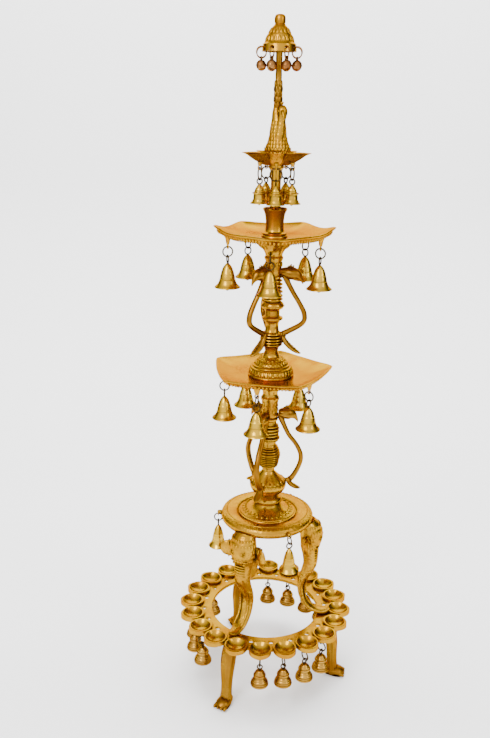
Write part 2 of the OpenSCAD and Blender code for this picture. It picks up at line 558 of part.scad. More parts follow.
module jingle_bell(i) color("sienna") at(jingle_angles[i - 1]) {
    ring_r = 8.4;
    hole = [canopy_r - 1.5, band_hole_z()];
    ring_z = hole[1] - sqrt(ring_r * ring_r - pow(jingle_circle_r - hole[0], 2));
    loop_d = 5.5;
    ball_z = ring_z - ring_r + link_d - loop_d - jingle_r - 0.2;
    translate([jingle_circle_r, 0, ring_z]) wire_ring(2 * ring_r, false);
    translate([jingle_circle_r, 0, ball_z]) {
        difference() {
            sphere(r = jingle_r);
            sphere(r = jingle_r - 1.2);
            translate([-0.8, -10, -10]) cube([1.6, 20, 9]);
        }
        translate([0, 0, jingle_r + loop_d / 2 + 0.2]) wire_ring(loop_d, true);
        translate([0, 0, -jingle_r + 1.2 + 2.7]) sphere(r = 2.5);
    }
}

diya_ring();
front_leg();
right_leg();
back_leg();
paw_feet();
stool_top();
lower_stem();
lower_bird_brackets();
lower_tray();
dome_base();
upper_stem();
upper_bird_brackets();
middle_tray();
waisted_column();
top_tray();
peacock();
canopy_pole();
canopy();
canopy_knob();
assembly_studs();
for (i = [1:14]) ring_bell(i);
for (i = [1:3]) stool_bell(i);
for (i = [1:5]) lower_bell(i);
for (i = [1:5]) middle_bell(i);
for (i = [1:5]) top_bell(i);
for (i = [1:8]) jingle_bell(i);
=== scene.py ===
# %% [markdown]
# # A standing brass oil lamp
# The lamp is a stack of cast and turned brass pieces with forty small bells hanging from it. A maker turns the
# stems, casts the legs and birds, and hangs the bells on bent wire. Each cell here makes one of those pieces.

# %% Load the frame
import json
import math

import bmesh
import bpy
from mathutils import Matrix, Vector


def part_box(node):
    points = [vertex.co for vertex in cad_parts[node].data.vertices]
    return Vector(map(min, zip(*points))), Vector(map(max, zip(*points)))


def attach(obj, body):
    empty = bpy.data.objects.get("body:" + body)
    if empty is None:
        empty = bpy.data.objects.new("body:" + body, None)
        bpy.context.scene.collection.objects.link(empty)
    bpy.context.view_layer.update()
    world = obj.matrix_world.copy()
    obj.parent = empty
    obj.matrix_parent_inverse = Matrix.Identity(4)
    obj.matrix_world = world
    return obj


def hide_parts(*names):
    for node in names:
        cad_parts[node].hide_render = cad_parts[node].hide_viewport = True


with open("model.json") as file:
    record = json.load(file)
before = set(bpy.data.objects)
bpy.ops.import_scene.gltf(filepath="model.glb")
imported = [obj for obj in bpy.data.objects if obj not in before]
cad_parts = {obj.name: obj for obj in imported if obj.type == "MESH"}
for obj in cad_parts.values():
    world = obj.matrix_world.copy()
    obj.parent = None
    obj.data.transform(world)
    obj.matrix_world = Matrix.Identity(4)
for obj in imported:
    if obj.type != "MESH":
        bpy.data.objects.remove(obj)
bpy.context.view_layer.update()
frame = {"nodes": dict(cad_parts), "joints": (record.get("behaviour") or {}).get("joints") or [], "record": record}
MM = 0.001
joints = {joint["child"]: joint for joint in frame["joints"]}

# %% [markdown]
# The frame gives every height and every hinge, so a piece never needs fitting afterwards. A place round the stem
# is an angle: 0 at the front, growing towards +X. Lengths are written in millimetres, as on a maker's drawing.

# %% Places on the lamp
def low(node):
    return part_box(node)[0][2] / MM


def high(node):
    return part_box(node)[1][2] / MM


def facing(degrees, radius=0.0, z=0.0):
    """Turns a piece so that its +X points outwards at an angle round the stem, then moves it out and up."""
    return Matrix.Rotation(math.radians(degrees - 90), 4, "Z") @ Matrix.Translation((radius * MM, 0, z * MM))


def moved(x, y, z):
    return Matrix.Translation((x * MM, y * MM, z * MM))


def tipped(degrees, axis):
    return Matrix.Rotation(math.radians(degrees), 4, axis)


def angle_of(point):
    return math.degrees(math.atan2(point[0], -point[1]))


def hung_on(prefix):
    """The bells of one kind, by the first words of their names."""
    return [name for name in joints if name.startswith(prefix)]


def hinge(name):
    """A bell's hinge: its angle round the stem, its distance out and its height."""
    x, y, eye = (c / MM for c in joints[name]["pos_m"])
    return angle_of((x, y)), math.hypot(x, y), eye


SEAT = low("lower_stem")
TRAY = {"lower_tray": high("lower_tray"), "middle_tray": high("middle_tray"), "top_tray": high("top_tray")}
print("seat", round(SEAT, 1), "trays", {name: round(z, 1) for name, z in TRAY.items()})

# %% [markdown]
# ## Brass, as numbers and nodes
# Polished brass is a mirror tinted gold, so most of its look comes from what it reflects. The rest is painted
# shade: the recesses are darkened to brown in the colour, and open faces stay bright. One small class wraps a
# socket so that the patterns can be written as sums.

# %% Shader maths on sockets
class Signal:
    """A socket's value, or one channel of it, that adds Math nodes when it is used in an expression."""

    def __init__(self, shader, socket):
        self.shader, self.socket = shader, socket

    def _math(self, operation, a, b):
        return self.shader.node("ShaderNodeMath", {"operation": operation}, {0: a, 1: b})

    def __add__(self, other):
        return self._math("ADD", self, other)

    def __rsub__(self, other):
        return self._math("SUBTRACT", other, self)

    def __mul__(self, other):
        return self._math("MULTIPLY", self, other)

    __radd__, __rmul__ = __add__, __mul__


class Shader:
    """A material with one Principled node and one method that adds any other node."""

    def __init__(self, name, **constants):
        self.material = bpy.data.materials.new(name)
        self.material.use_nodes = True
        self.nodes, self.links = self.material.node_tree.nodes, self.material.node_tree.links
        self.surface = self.nodes["Principled BSDF"]
        for socket, value in constants.items():
            self.surface.inputs[socket.replace("_", " ")].default_value = value

    def node(self, kind, settings=None, inputs=None, output=0):
        """Adds a node: its settings first, then the values or links of its sockets."""
        made = self.nodes.new(kind)
        for key, value in (settings or {}).items():
            setattr(made, key, value)
        for key, value in (inputs or {}).items():
            self.feed(made.inputs[key], value)
        return Signal(self, made.outputs[output])

    def feed(self, socket, value):
        if isinstance(value, Signal):
            self.links.new(value.socket, socket)
        else:
            socket.default_value = value

    def set(self, socket, value):
        self.feed(self.surface.inputs[socket], value)


# %% [markdown]
# One recipe makes each brass. Broad noise shifts its colour from gold to orange, the ambient occlusion node
# finds the recesses and paints shade into them in brown, and fine noise pits the surface as sand casting does.
# Painted masks would do the same, but would have to be redrawn for each piece. A metal's specular tint is what it
# reflects at a slant: gold on polished faces, nearly black on bells and wire, whose sides keep their brown skin.

# %% The brasses
GOLD_EDGE, BROWN_EDGE, BLACK_EDGE = (0.80, 0.50, 0.12, 1), (0.22, 0.10, 0.015, 1), (0.10, 0.06, 0.02, 1)
BROAD, FINE, CHASED = 22.0, 420.0, 260.0  # pattern sizes, in repeats a metre
RECESS = 0.007  # how far the painted shade looks for a facing wall, in metres
OBJECT = 3  # the coordinate node's Object output
MIXED, A, B = 2, 6, 7  # the Mix node's colour result and colour inputs


def brass(name, gold, warm, deep, rough, shade_depth=0.8, pitting=0.25, chased=0.0, edge=GOLD_EDGE):
    """A cast brass with painted shade in its recesses; edge is what it reflects at a slant, darker on pieces with a
    brown skin.
    """
    shader = Shader(name, Metallic=1.0, Specular_Tint=edge)
    spot = shader.node("ShaderNodeTexCoord", output=OBJECT)
    broad = shader.node("ShaderNodeTexNoise", {}, {"Vector": spot, "Scale": BROAD, "Detail": 3.0, "Roughness": 0.55})
    fine = shader.node("ShaderNodeTexNoise", {}, {"Vector": spot, "Scale": FINE, "Detail": 2.0})
    open_air = shader.node("ShaderNodeAmbientOcclusion", {"samples": 6, "only_local": True},
                           {"Distance": RECESS}, output=1)
    shade = shader.node("ShaderNodeMapRange", {}, {0: open_air, 1: 0.35, 2: 0.95, 3: 0.0, 4: 1.0})
    tint = shader.node("ShaderNodeMapRange", {}, {0: broad, 1: 0.38, 2: 0.66, 3: 0.0, 4: 1.0})
    face = shader.node("ShaderNodeMix", {"data_type": "RGBA"}, {0: tint, A: gold, B: warm}, output=MIXED)
    # Painted shade: the recesses that the occlusion finds are darkened towards the deep colour.
    painted_shade_mix = shade * shade_depth + (1.0 - shade_depth)
    shader.set("Base Color", shader.node("ShaderNodeMix", {"data_type": "RGBA"}, {0: painted_shade_mix, A: deep, B: face},
                                         output=MIXED))
    shader.set("Roughness", tint * 0.08 + (1.0 - shade) * 0.22 + rough)
    relief = fine * pitting
    if chased:
        cells = shader.node("ShaderNodeTexVoronoi", {"feature": "SMOOTH_F1"}, {"Vector": spot, "Scale": CHASED})
        relief = relief + cells * chased
    bump = shader.node("ShaderNodeBump", {}, {"Strength": 0.5, "Distance": 0.0009, "Height": relief})
    shader.set("Normal", bump)
    return shader.material


# In each brass below, the third colour is the painted shade of its recesses, and the number after the roughness is
# how strongly it is painted.
FINISH = {
    "polished_brass": brass("polished_brass", (0.42, 0.225, 0.010, 1), (0.36, 0.155, 0.005, 1),
                            (0.085, 0.032, 0.002, 1), 0.22, 0.92),
    "bright_brass": brass("bright_brass", (0.43, 0.225, 0.010, 1), (0.35, 0.145, 0.004, 1), (0.13, 0.05, 0.003, 1),
                          0.22, 0.75, 0.14),
    "aged_brass": brass("aged_brass", (0.25, 0.12, 0.009, 1), (0.19, 0.075, 0.005, 1), (0.03, 0.012, 0.002, 1), 0.27,
                        0.95, 0.4),
    "bell_brass": brass("bell_brass", (0.60, 0.37, 0.030, 1), (0.46, 0.25, 0.012, 1), (0.06, 0.026, 0.003, 1), 0.20,
                        0.95, 0.1, edge=BROWN_EDGE),
    "dim_bell_brass": brass("dim_bell_brass", (0.40, 0.215, 0.030, 1), (0.28, 0.125, 0.014, 1),
                            (0.04, 0.017, 0.003, 1), 0.22, 1.0, 0.15, edge=BROWN_EDGE),
    "ghungroo_bronze": brass("ghungroo_bronze", (0.27, 0.125, 0.035, 1), (0.20, 0.075, 0.020, 1),
                             (0.025, 0.011, 0.003, 1), 0.24, 0.95, 0.3, edge=BROWN_EDGE),
    "chased_brass": brass("chased_brass", (0.44, 0.23, 0.010, 1), (0.35, 0.15, 0.005, 1), (0.045, 0.017, 0.001, 1),
                          0.25, 1.0, 0.4, 1.2),
    "dark_wire": brass("dark_wire", (0.075, 0.042, 0.014, 1), (0.045, 0.024, 0.008, 1), (0.012, 0.008, 0.004, 1),
                       0.36, 0.8, 0.2, edge=BLACK_EDGE),
    "dark_steel": brass("dark_steel", (0.30, 0.29, 0.28, 1), (0.24, 0.23, 0.22, 1), (0.08, 0.08, 0.08, 1), 0.35),
}
# The record has fewer finishes than the picture needs.
print("finishes:", ", ".join(FINISH))

# %% [markdown]
# ## Ways of making
# Turned work is an outline spun round the stem, as a lathe cuts it. Cast limbs are loops bridged along a bend,
# which follows a curve better than a subdivided box would.

# %% Turning and casting
def bend(points, steps):
    """More points along a smooth curve through the given ones."""
    out = []
    for i in range(len(points) - 1):
        a, b, c, d = (points[max(i - 1, 0)], points[i], points[i + 1], points[min(i + 2, len(points) - 1)])
        for k in range(steps):
            t = k / steps
            out.append(tuple(0.5 * (2 * q + (r - p) * t + (2 * p - 5 * q + 4 * r - s) * t * t
                                    + (3 * q - 3 * r + s - p) * t ** 3) for p, q, r, s in zip(a, b, c, d)))
    return out + [tuple(points[-1])]


def turn(outline, steps=56):
    """Spins an outline of (radius, height) pairs round the upright axis."""
    shape = bmesh.new()
    line = [shape.verts.new((r * MM, 0, z * MM)) for r, z in outline]
    rim = [shape.edges.new(pair) for pair in zip(line, line[1:])]
    bmesh.ops.spin(shape, geom=line + rim, cent=(0, 0, 0), axis=(0, 0, 1), angle=math.tau, steps=steps,
                   use_merge=True, use_duplicate=False)
    bmesh.ops.remove_doubles(shape, verts=shape.verts[:], dist=2e-6)
    return shape


def limb(stations, sides=16, steps=3, flutes=0, depth=0.0):
    """Loops along a bend in the X-Z plane, each station (x, z, half width across, half depth)."""
    shape = bmesh.new()
    path = bend(stations, steps)
    loops = []
    for i, (x, z, across, thick) in enumerate(path):
        before, after = path[max(i - 1, 0)], path[min(i + 1, len(path) - 1)]
        tilt = math.atan2(after[0] - before[0], after[1] - before[1])
        frame_here = (moved(x, 0, z) @ Matrix.Rotation(tilt, 4, "Y")
                      @ Matrix.Diagonal((max(thick, 0.3) * MM, max(across, 0.3) * MM, 1, 1)))
        ends = i in (0, len(path) - 1)
        ring = bmesh.ops.create_circle(shape, cap_ends=ends, segments=sides, radius=1.0)["verts"]
        for k, corner in enumerate(ring):
            if flutes:
                corner.co *= 1 + depth * math.cos(flutes * math.tau * k / sides)
            corner.co = frame_here @ corner.co
        loops.append([edge for edge in {e for v in ring for e in v.link_edges}])
    for one, two in zip(loops, loops[1:]):
        bmesh.ops.bridge_loops(shape, edges=one + two)
    return shape


# %% [markdown]
# Ornament is small leaves and beads set in rows, as a caster presses them into the wax. One leaf is made and
# copied to many places, because real relief catches light at the edge of a piece where bump alone can't.

# %% Wire rings, beads and leaves
def raise_up(shape, height):
    """Raises a shape made at the floor to its height in millimetres."""
    bmesh.ops.translate(shape, vec=(0, 0, height * MM), verts=shape.verts[:])


def wire_ring(diameter, wire, across, steps=28):
    """A round ring of wire standing upright, its hole looking along Y, or along X where it stands across."""
    shape = bmesh.new()
    section = bmesh.ops.create_circle(shape, segments=8, radius=wire / 2 * MM,
                                      matrix=moved(diameter / 2, 0, 0) @ Matrix.Rotation(math.pi / 2, 4, "X"))
    edges = list({edge for corner in section["verts"] for edge in corner.link_edges})
    bmesh.ops.spin(shape, geom=section["verts"] + edges, cent=(0, 0, 0), axis=(0, 0, 1), angle=math.tau, steps=steps,
                   use_merge=True, use_duplicate=False)
    bmesh.ops.remove_doubles(shape, verts=shape.verts[:], dist=2e-6)
    bmesh.ops.rotate(shape, verts=shape.verts[:], cent=(0, 0, 0),
                     matrix=Matrix.Rotation(math.pi / 2, 3, "Y" if across else "X"))
    return shape


def bead(size, detail=1):
    """A small ball; its detail is the number of times that its faces are divided."""
    shape = bmesh.new()
    bmesh.ops.create_icosphere(shape, subdivisions=detail, radius=size * MM)
    return shape


def leaf(length, width, thick):
    """A pointed leaf lying in the Y-Z plane with its tip up and its back towards -X."""
    shape = bmesh.new()
    bmesh.ops.create_uvsphere(shape, u_segments=8, v_segments=6, radius=1.0)
    for corner in shape.verts:
        z = corner.co.z
        pinch = 1 - 0.35 * max(z, 0) ** 2
        corner.co = Vector((corner.co.x * thick, corner.co.y * width * pinch,
                            z * length * (1 + 0.15 * max(z, 0)))) * MM
    return shape


def place(target, source, *matrices, material=None, keep=False):
    """Copies one shape into another at each of the given places."""
    for matrix in matrices or (Matrix(),):
        mesh = bpy.data.meshes.new("passing")
        source.to_mesh(mesh)
        mesh.transform(matrix)
        first = len(target.faces)
        target.from_mesh(mesh)
        target.faces.ensure_lookup_table()
        if material is not None:
            for face in target.faces[first:]:
                face.material_index = material
        bpy.data.meshes.remove(mesh)
    if not keep:
        source.free()
    return target


def ring_of(count, radius, z, lean=0.0, start=0.0):
    """Places round the stem for a row of ornament, leaning outwards from the stem by some degrees."""
    return [facing(start + 360 * k / count, radius, z) @ tipped(lean, "Y") for k in range(count)]


# %% [markdown]
# A finished piece gets outward faces, soft shading with its hard edges kept, and the body that it rides on. The
# hard angle is higher on castings, whose leaves would otherwise show every facet.

# %% Finishing a piece
def piece(shape, name, finishes, body="stand", stands_for=(), hard=38, weld=True):
    """Makes an object of a shape. It takes the frame's place of the nodes that it stands for."""
    if weld:
        bmesh.ops.remove_doubles(shape, verts=shape.verts[:], dist=2e-6)
    bmesh.ops.recalc_face_normals(shape, faces=shape.faces[:])
    for face in shape.faces:
        face.smooth = True
    for edge in shape.edges:
        edge.smooth = len(edge.link_faces) != 2 or edge.calc_face_angle(0.0) < math.radians(hard)
    mesh = bpy.data.meshes.new(name)
    shape.to_mesh(mesh)
    shape.free()
    made = bpy.data.objects.new(name, mesh)
    bpy.context.scene.collection.objects.link(made)
    names = [finishes] if isinstance(finishes, str) else list(finishes)
    for finish in names:
        mesh.materials.append(FINISH[finish])
    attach(made, body)
    if stands_for:
        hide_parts(*stands_for)
    print(f"{name}: {len(mesh.polygons)} faces")
    return made


def from_cad(node):
    """A merged copy of a CAD node, for pieces whose cut shape is already right."""
    shape = bmesh.new()
    shape.from_mesh(frame["nodes"][node].data)
    bmesh.ops.remove_doubles(shape, verts=shape.verts[:], dist=1e-5)
    bmesh.ops.dissolve_degenerate(shape, edges=shape.edges[:], dist=1e-5)
    return shape


# %% [markdown]
# ## The cup ring
# Twenty oil cups stand on a flat pierced ring. Their hollows and holes are cut already in the frame, where oil
# and bolts need them, so the ring keeps that shape in a merged copy, and only its finish and soft shading are new.

# %% Cup ring
piece(from_cad("diya_ring"), "cup_ring", "polished_brass", stands_for=("diya_ring",), hard=30)

# %% [markdown]
# ## Legs
# Each leg is a casting: an elephant's head under the stool, its trunk running down to a tongue on the ring. The
# trunk is one limb whose stations were read from head to tip. Ears, spirals, scales, brows and folds are added
# to it as separate closed shapes that overlap it, as a caster adds wax, which is simpler than cutting one skin.

# %% Legs
def elephant_leg(node, angle):
    """One leg, made on the stem's +X side and then turned to its angle."""
    top, web = high(node), low(node)
    leg = limb([(78, top, 21, 15), (83, top - 10, 24, 20), (86, top - 24, 25, 22), (85, top - 38, 23, 20),
                (83, top - 50, 20, 17), (84, top - 62, 17, 14.5), (86, top - 76, 15, 14),
                (85, top - 90, 14.5, 13), (79, top - 106, 14.5, 10.5), (73, top - 120, 15, 8.4),
                (70, top - 134, 15, 7.4), (72, top - 152, 14.5, 6.8), (78, top - 168, 13.5, 6.2),
                (88, web + 13, 12.5, 5.8), (100, web + 7, 11.5, 5.2), (111, web + 5, 10.5, 4.8),
                (119, web + 5.5, 8, 5), (124, web + 8, 5, 4), (126, web + 11, 2.5, 2.4)], sides=28)
    groove = [(86.5, top - 86, 1.6, 1.2), (74.5, top - 124, 2.0, 1.2), (77, top - 160, 2.0, 1.2),
              (97, web + 11, 1.4, 1)]
    for side in (-0.62, 0.62):
        ridge = limb([(x + 11.5 - 5.5 * (k > 0) - 1.5 * (k > 1), z + 1.2 * k, w, t)
                      for k, (x, z, w, t) in enumerate(groove)], 8, 6)
        place(leg, ridge, moved(0, side * 13, 0))
    fan = limb([(3, 0, 0.9, 1.2), (9, 1.0, 1.8, 2.2), (14.5, 0.5, 1.8, 2.0), (17, 0, 0.8, 0.8)], 8, 3)
    curl = bead(1.9)
    for side in (-1, 1):
        shell = limb([(-19, 0, 2.2, 7), (-13, 0, 4, 14), (0, 0, 4.6, 16.5), (12, 0, 4, 14.5), (18, 0, 2, 6)], 20, 3)
        at = (moved(79, side * 30, top - 36) @ tipped(90 - 24 * side, "Z"))
        place(leg, shell, at)
        for k in range(11):
            spread = math.radians(-105 + 21 * k)
            for face_side in (-3.4, 3.4):
                place(leg, fan, at @ moved(0, face_side, 0)
                      @ Matrix.Rotation(spread - math.pi / 2 * (1 + side), 4, "Y"), keep=True)
        for k in range(24):
            turned, out = k * 0.52, 1.0 + k * 0.40
            place(leg, curl, moved(84 + out * math.cos(turned), side * (24.2 - 0.10 * out),
                                   top - 24 + out * math.sin(turned)), keep=True)
        for k in range(15):
            turned, out = k * 0.60, 1.0 + k * 0.42
            place(leg, curl, moved(106.2 - 0.05 * out * out, side * (9 + out * math.cos(turned)),
                                   top - 26 + out * math.sin(turned)), keep=True)
        place(leg, bead(3.2, 2), moved(99, side * 10.5, top - 50))
        brow = limb([(0, -7, 1, 1), (2.5, 0, 1.8, 1.8), (0, 7, 1, 1)], 8, 3)
        place(leg, brow, moved(98.5, side * 10.5, top - 45) @ Matrix.Rotation(math.pi / 2, 4, "X"))
    fan.free()
    curl.free()
    scale = leaf(5.2, 3.6, 2.0)
    for row in range(5):
        for k in range(11):
            swing = math.radians(-80 + 16 * k + (8 if row % 2 else 0))
            x = 84 + (18, 21, 21.6, 20.5, 18)[row] * math.cos(swing)
            y = (21.5, 24, 24.6, 23, 20.6)[row] * math.sin(swing)
            place(leg, scale, moved(x, y, top - 6 - 9.4 * row) @ Matrix.Rotation(swing, 4, "Z")
                  @ tipped(180, "Y"), keep=True)
    scale.free()
    for k in range(5):
        fold = limb([(0, -11, 1, 1), (1.6, -5, 1.5, 1.5), (2.4, 0, 1.6, 1.6), (1.6, 5, 1.5, 1.5),
                     (0, 11, 1, 1)], 6, 3)
        place(leg, fold, moved(97.5 - 0.2 * k, 0, top - 57 - 5 * k) @ Matrix.Rotation(math.pi / 2, 4, "X"))
    bmesh.ops.transform(leg, matrix=facing(angle), verts=leg.verts[:])
    return piece(leg, node + "_cast", "chased_brass", stands_for=(node,), hard=50, weld=False)


soles = frame["record"]["mounts"]
LEG_ANGLES = {sole["name"].replace("foot_sole", "leg"): angle_of(sole["pos_m"]) for sole in soles}
print({node: round(a, 1) for node, a in LEG_ANGLES.items()})
for node, angle in LEG_ANGLES.items():
    elephant_leg(node, angle)

# %% [markdown]
# Under the ring each leg goes on as a fluted shin and a paw with four toes. The flutes come from the limb's own
# loops, pushed in and out as they are made. The soles are pressed flat on the floor at the end.

# %% Paws
feet = bmesh.new()
web_under = high("paw_feet")
for angle in LEG_ANGLES.values():
    foot = limb([(114, web_under - 5, 11, 7), (121, web_under - 13, 13, 10), (128, web_under - 25, 14, 11.5),
                 (133, 84, 13.5, 11.5),
                 (135.5, 62, 11.5, 10.5), (136.5, 40, 10, 9.5), (137.5, 24, 10, 9.6), (139, 10, 11.5, 10),
                 (139, 3, 11, 9)],
                sides=36, steps=4, flutes=9, depth=0.07)
    place(foot, limb([(126, 8, 8, 6), (134, 9, 11.5, 8.6), (146, 9.5, 13, 9.2), (155, 8, 12, 7.6), (161, 6, 7, 5)],
                     20))
    toe = limb([(-9, 0, 2.2, 2.5), (-4, 0, 3.1, 4), (2, -1.5, 3.3, 4), (7, -3, 2.6, 2.6), (9, -3.6, 1, 1)], 10)
    for k in (-1.5, -0.5, 0.5, 1.5):
        place(foot, toe, moved(155, k * 6.4, 7.6) @ tipped(7 * k, "Z"), keep=True)
    toe.free()
    place(foot, limb([(126, 0, 6, 1), (137, 0, 10, 1), (150, 0, 12, 1), (158, 0, 10, 1)], 16), moved(0, 0, 1.1))
    cuff = turn([(0, -3), (14, -3), (15, -1.5), (15, 1.5), (14, 3), (0, 3)], 24)
    place(foot, cuff, moved(123.5, 0, web_under - 15) @ tipped(28, "Y")
          @ Matrix.Diagonal((0.82, 1, 1, 1)))
    place(feet, foot, facing(angle))
low_point = min(v.co.z for v in feet.verts)
for corner in feet.verts:
    corner.co.z = max(corner.co.z, 0.0)
print("lowest before the soles were ground flat:", round(low_point / MM, 2), "mm")
piece(feet, "paws", "aged_brass", stands_for=("paw_feet",), hard=55)

# %% [markdown]
# ## Stool top
# A thick turned disc: smooth shoulder, a chased sloping band, and a row of beads at the edge. Cast lugs under its
# rim hold three bells. The band's relief is a ring of leaves lying down the slope.

# %% Stool
top = turn([(0, 0), (0.0, -7), (70, -7), (74, -14), (82.6, -14), (84, -12), (85.8, -9), (86.6, -6), (86.6, -3),
            (85.6, -1),
            (84, 1.5), (81.5, 2.6), (79, 4.2), (76.5, 5.0), (75.8, 4.4), (75, 5.2), (71, 5.6), (66, 5.4), (61, 4.6),
            (58.4, 3.4), (57, 2.2), (56.5, 0), (0, 0)], 96)
raise_up(top, SEAT)
place(top, bead(1.15), *ring_of(96, 86.2, SEAT - 8.5))
place(top, leaf(4.2, 2.3, 1.1), *ring_of(64, 81.8, SEAT + 2.2, lean=-58))
for name in hung_on("stool_bell"):
    angle, out, eye = hinge(name)
    lug = limb([(78, SEAT - 5, 4.5, 4), (86, SEAT - 4.5, 4.2, 3.4), (91.4, SEAT - 3.4, 3.4, 2.6),
                (93.4, SEAT - 5, 2.4, 1.9)], 12)
    place(top, lug, facing(angle))
    place(top, wire_ring(6.6, 2.2, True), facing(angle, out, eye))
piece(top, "stool", "chased_brass", stands_for=("stool_top",), hard=32, weld=False)

# %% [markdown]
# ## The lower stem
# From the seat up: a wide foot, a ring, a bowl of petals, a vase neck, two runs of ribs, and a chased collar. It
# is one outline, so the ribs are written as a loop that adds the same small step at each height and radius.

# %% Lower stem
outline = [(0, 0), (55, 0), (55, 2), (54, 3.4), (52, 4), (51.4, 5.4), (47, 7.6), (40, 10.4), (33, 13.4), (27, 17),
           (24, 20),
           (23.4, 21.6), (25.6, 23), (27, 25.6), (27.2, 28.6), (26, 31.6), (22.6, 34), (19, 36), (17.6, 38.4),
           (19, 40.6),
           (25, 42.6), (29.6, 46.4), (32.4, 51.6), (33.6, 57), (33.4, 61), (32.2, 63.4), (31.4, 64), (31.6, 65.6),
           (28.4, 69),
           (24.4, 72.4), (19.6, 76.6), (15.6, 80.6), (12.4, 84), (11.2, 87.4), (11.4, 90.4), (14, 92.6), (14.2, 94.4)]
for z, r in ((96.6, 17.2), (100.2, 18.4), (103.8, 19.0), (107.6, 19.6), (111.6, 20.6), (116.0, 21.6), (120.6, 21.4),
             (125.2, 20.2), (129.6, 18.6), (133.6, 16.6)):
    outline += [(r - 2.2, z - 1.5), (r, z - 0.7), (r + 0.3, z), (r, z + 0.8), (r - 2.2, z + 1.6)]
outline += [(13.2, 138), (12.8, 142)]
for z, r in ((147, 17.2), (151.4, 19.6), (157.4, 17.6), (163.4, 18.2), (169.4, 18.2), (175, 16.6)):
    outline += [(r - 3.2, z - 2.4), (r, z - 1), (r + 0.3, z), (r, z + 1.1), (r - 3.2, z + 2.5)]
outline += [(12.6, 180), (12.6, 184), (15, 186.4), (15.4, 189.4), (13, 191.4), (15.4, 193.6), (16.2, 197),
            (14.4, 201), (14, 206),
            (14, 219), (14.4, 223), (16.6, 226), (16.8, 229.6), (14.8, 232.4), (13.6, 235), (13.8, 239), (14.6, 244),
            (17.4, 248), (21, 252.4), (22, 258), (26, 263.6), (36, 267.4), (36, high("lower_stem") - SEAT),
            (0, high("lower_stem") - SEAT)]
stem = turn(outline, 64)
place(stem, leaf(7.4, 3.4, 1.8), *ring_of(22, 31.8, 55.5, lean=12))
place(stem, leaf(5, 2.6, 1.4), *ring_of(22, 29.4, 67.6, lean=-56, start=8))
place(stem, bead(1.3), *ring_of(40, 33.6, 63.2))
place(stem, leaf(4.4, 2.8, 1.3), *ring_of(30, 44, 9.4, lean=-64))
place(stem, leaf(5.2, 2.8, 1.4), *ring_of(12, 14, 206, lean=0))
place(stem, bead(1.5), *ring_of(14, 14.3, 214.6))
place(stem, leaf(4.4, 2.4, 1.3), *ring_of(12, 14.2, 221, start=11, lean=4))
place(stem, bead(1.2), *ring_of(26, 27.4, 27.2))
raise_up(stem, SEAT)
piece(stem, "lower_stem_turned", "polished_brass", stands_for=("lower_stem",), hard=36, weld=False)

# %% [markdown]
# ## Bird brackets
# Three cast birds look out under each tray. The neck bends down into a strap that meets the stem lower down, where
# it ends in a leaf. The same casting serves both stems, in two lengths, so its stations are shares of the drop.

# %% Birds
def bird(head, bulge, root, foot, foot_z, tail, dip):
    """A bird with its head at one height, a strap that bulges out below it, and a leaf that dips past its foot."""
    drop = head - foot_z
    cast = limb([(root, head, 6, 6.4), (20, head, 8.5, 8.6), (27, head - 0.5, 10.6, 10.6), (35, head - 1.5, 11, 11),
                 (41, head - 3, 9, 9.4), (45, head - 6, 6.4, 6.8), (48.6, head - 10, 3.8, 3.8),
                 (51.5, head - 14.6, 2, 2.2), (52.6, head - 18.6, 0.8, 0.8)], 18)
    place(cast, limb([(20, head - 4, 6, 6), (22, head - 0.08 * drop, 6, 5.6), (27, head - 0.17 * drop, 5.4, 4.6),
                      (37, head - 0.32 * drop, 5.2, 4.2), (bulge - 9, head - 0.47 * drop, 5.2, 4.2),
                      (bulge, head - 0.63 * drop, 5.4, 4.4), (bulge - 3, head - 0.78 * drop, 5.4, 4.4),
                      (foot + 11, foot_z + 6, 5.4, 5), (foot, foot_z, 5.4, 5)], 14, 4))
    place(cast, limb([(foot + 4, foot_z + 1, 4, 4), (foot + 0.3 * tail, foot_z - 0.4 * dip, 7.4, 4.4),
                      (foot + 0.6 * tail, foot_z - 0.75 * dip, 8.4, 3.8),
                      (foot + 0.87 * tail, foot_z - 0.95 * dip, 5.6, 2.4), (foot + tail, foot_z - dip, 1.2, 1)], 12))
    for lift, reach in ((8, 27), (11, 31), (9, 35)):
        place(cast, limb([(reach, head + 4, 1.6, 3), (reach - 1, head + 4 + lift * 0.6, 1.6, 2.4),
                          (reach + 1, head + 4 + lift, 0.8, 0.8)], 8))
    for side in (-1, 1):
        place(cast, bead(1.7, 2), moved(41, side * 7.2, head))
        for k in range(3):
            place(cast, leaf(7.5, 3.2, 1.6), moved(24 + 3 * k, side * (8.0 + 0.5 * k), head - 2 + k)
                  @ Matrix.Rotation(side * math.pi / 2, 4, "Z") @ tipped(80, "X"))
    band = turn([(0, -1.6), (5.4, -1.6), (6.6, 0), (5.4, 1.6), (0, 1.6)], 16)
    place(cast, band, moved(foot + 8, 0, foot_z + 3) @ tipped(66, "Y"))
    for k in range(5):
        place(cast, leaf(4.4, 1.6, 1.2), moved(foot + tail * (0.3 + 0.12 * k), 0, foot_z - dip * (0.3 + 0.13 * k))
              @ tipped(100, "Y"))
    return cast


def bird_tier(node, root, foot, foot_up, head_up, base, bulge, tail, dip, angles):
    """The three birds of one stem, copied from one casting to their angles."""
    tier = bmesh.new()
    casting = bird(base + head_up, bulge, root, foot, base + foot_up, tail, dip)
    place(tier, casting, *[facing(angle) for angle in angles])
    piece(tier, node + "_cast", "aged_brass", stands_for=(node,), hard=60, weld=False)


bird_tier("lower_bird_brackets", 17, 34, 62, 198, SEAT, 61, 28, 16, (100, -20, -140))
bird_tier("upper_bird_brackets", 13, 14, 33, 146, high("dome_base"), 57, 39, 30, (77, -43, -163))

# %% [markdown]
# ## Trays
# A tray is a shallow turned dish whose edge is drawn out to corners, where the oil wicks lay. Its outline is spun
# first, and each point then moves out by how far the edge is at its angle, so the rim's section stays even.

# %% Trays
def gap(angle, other):
    return abs((angle - other + 180) % 360 - 180)


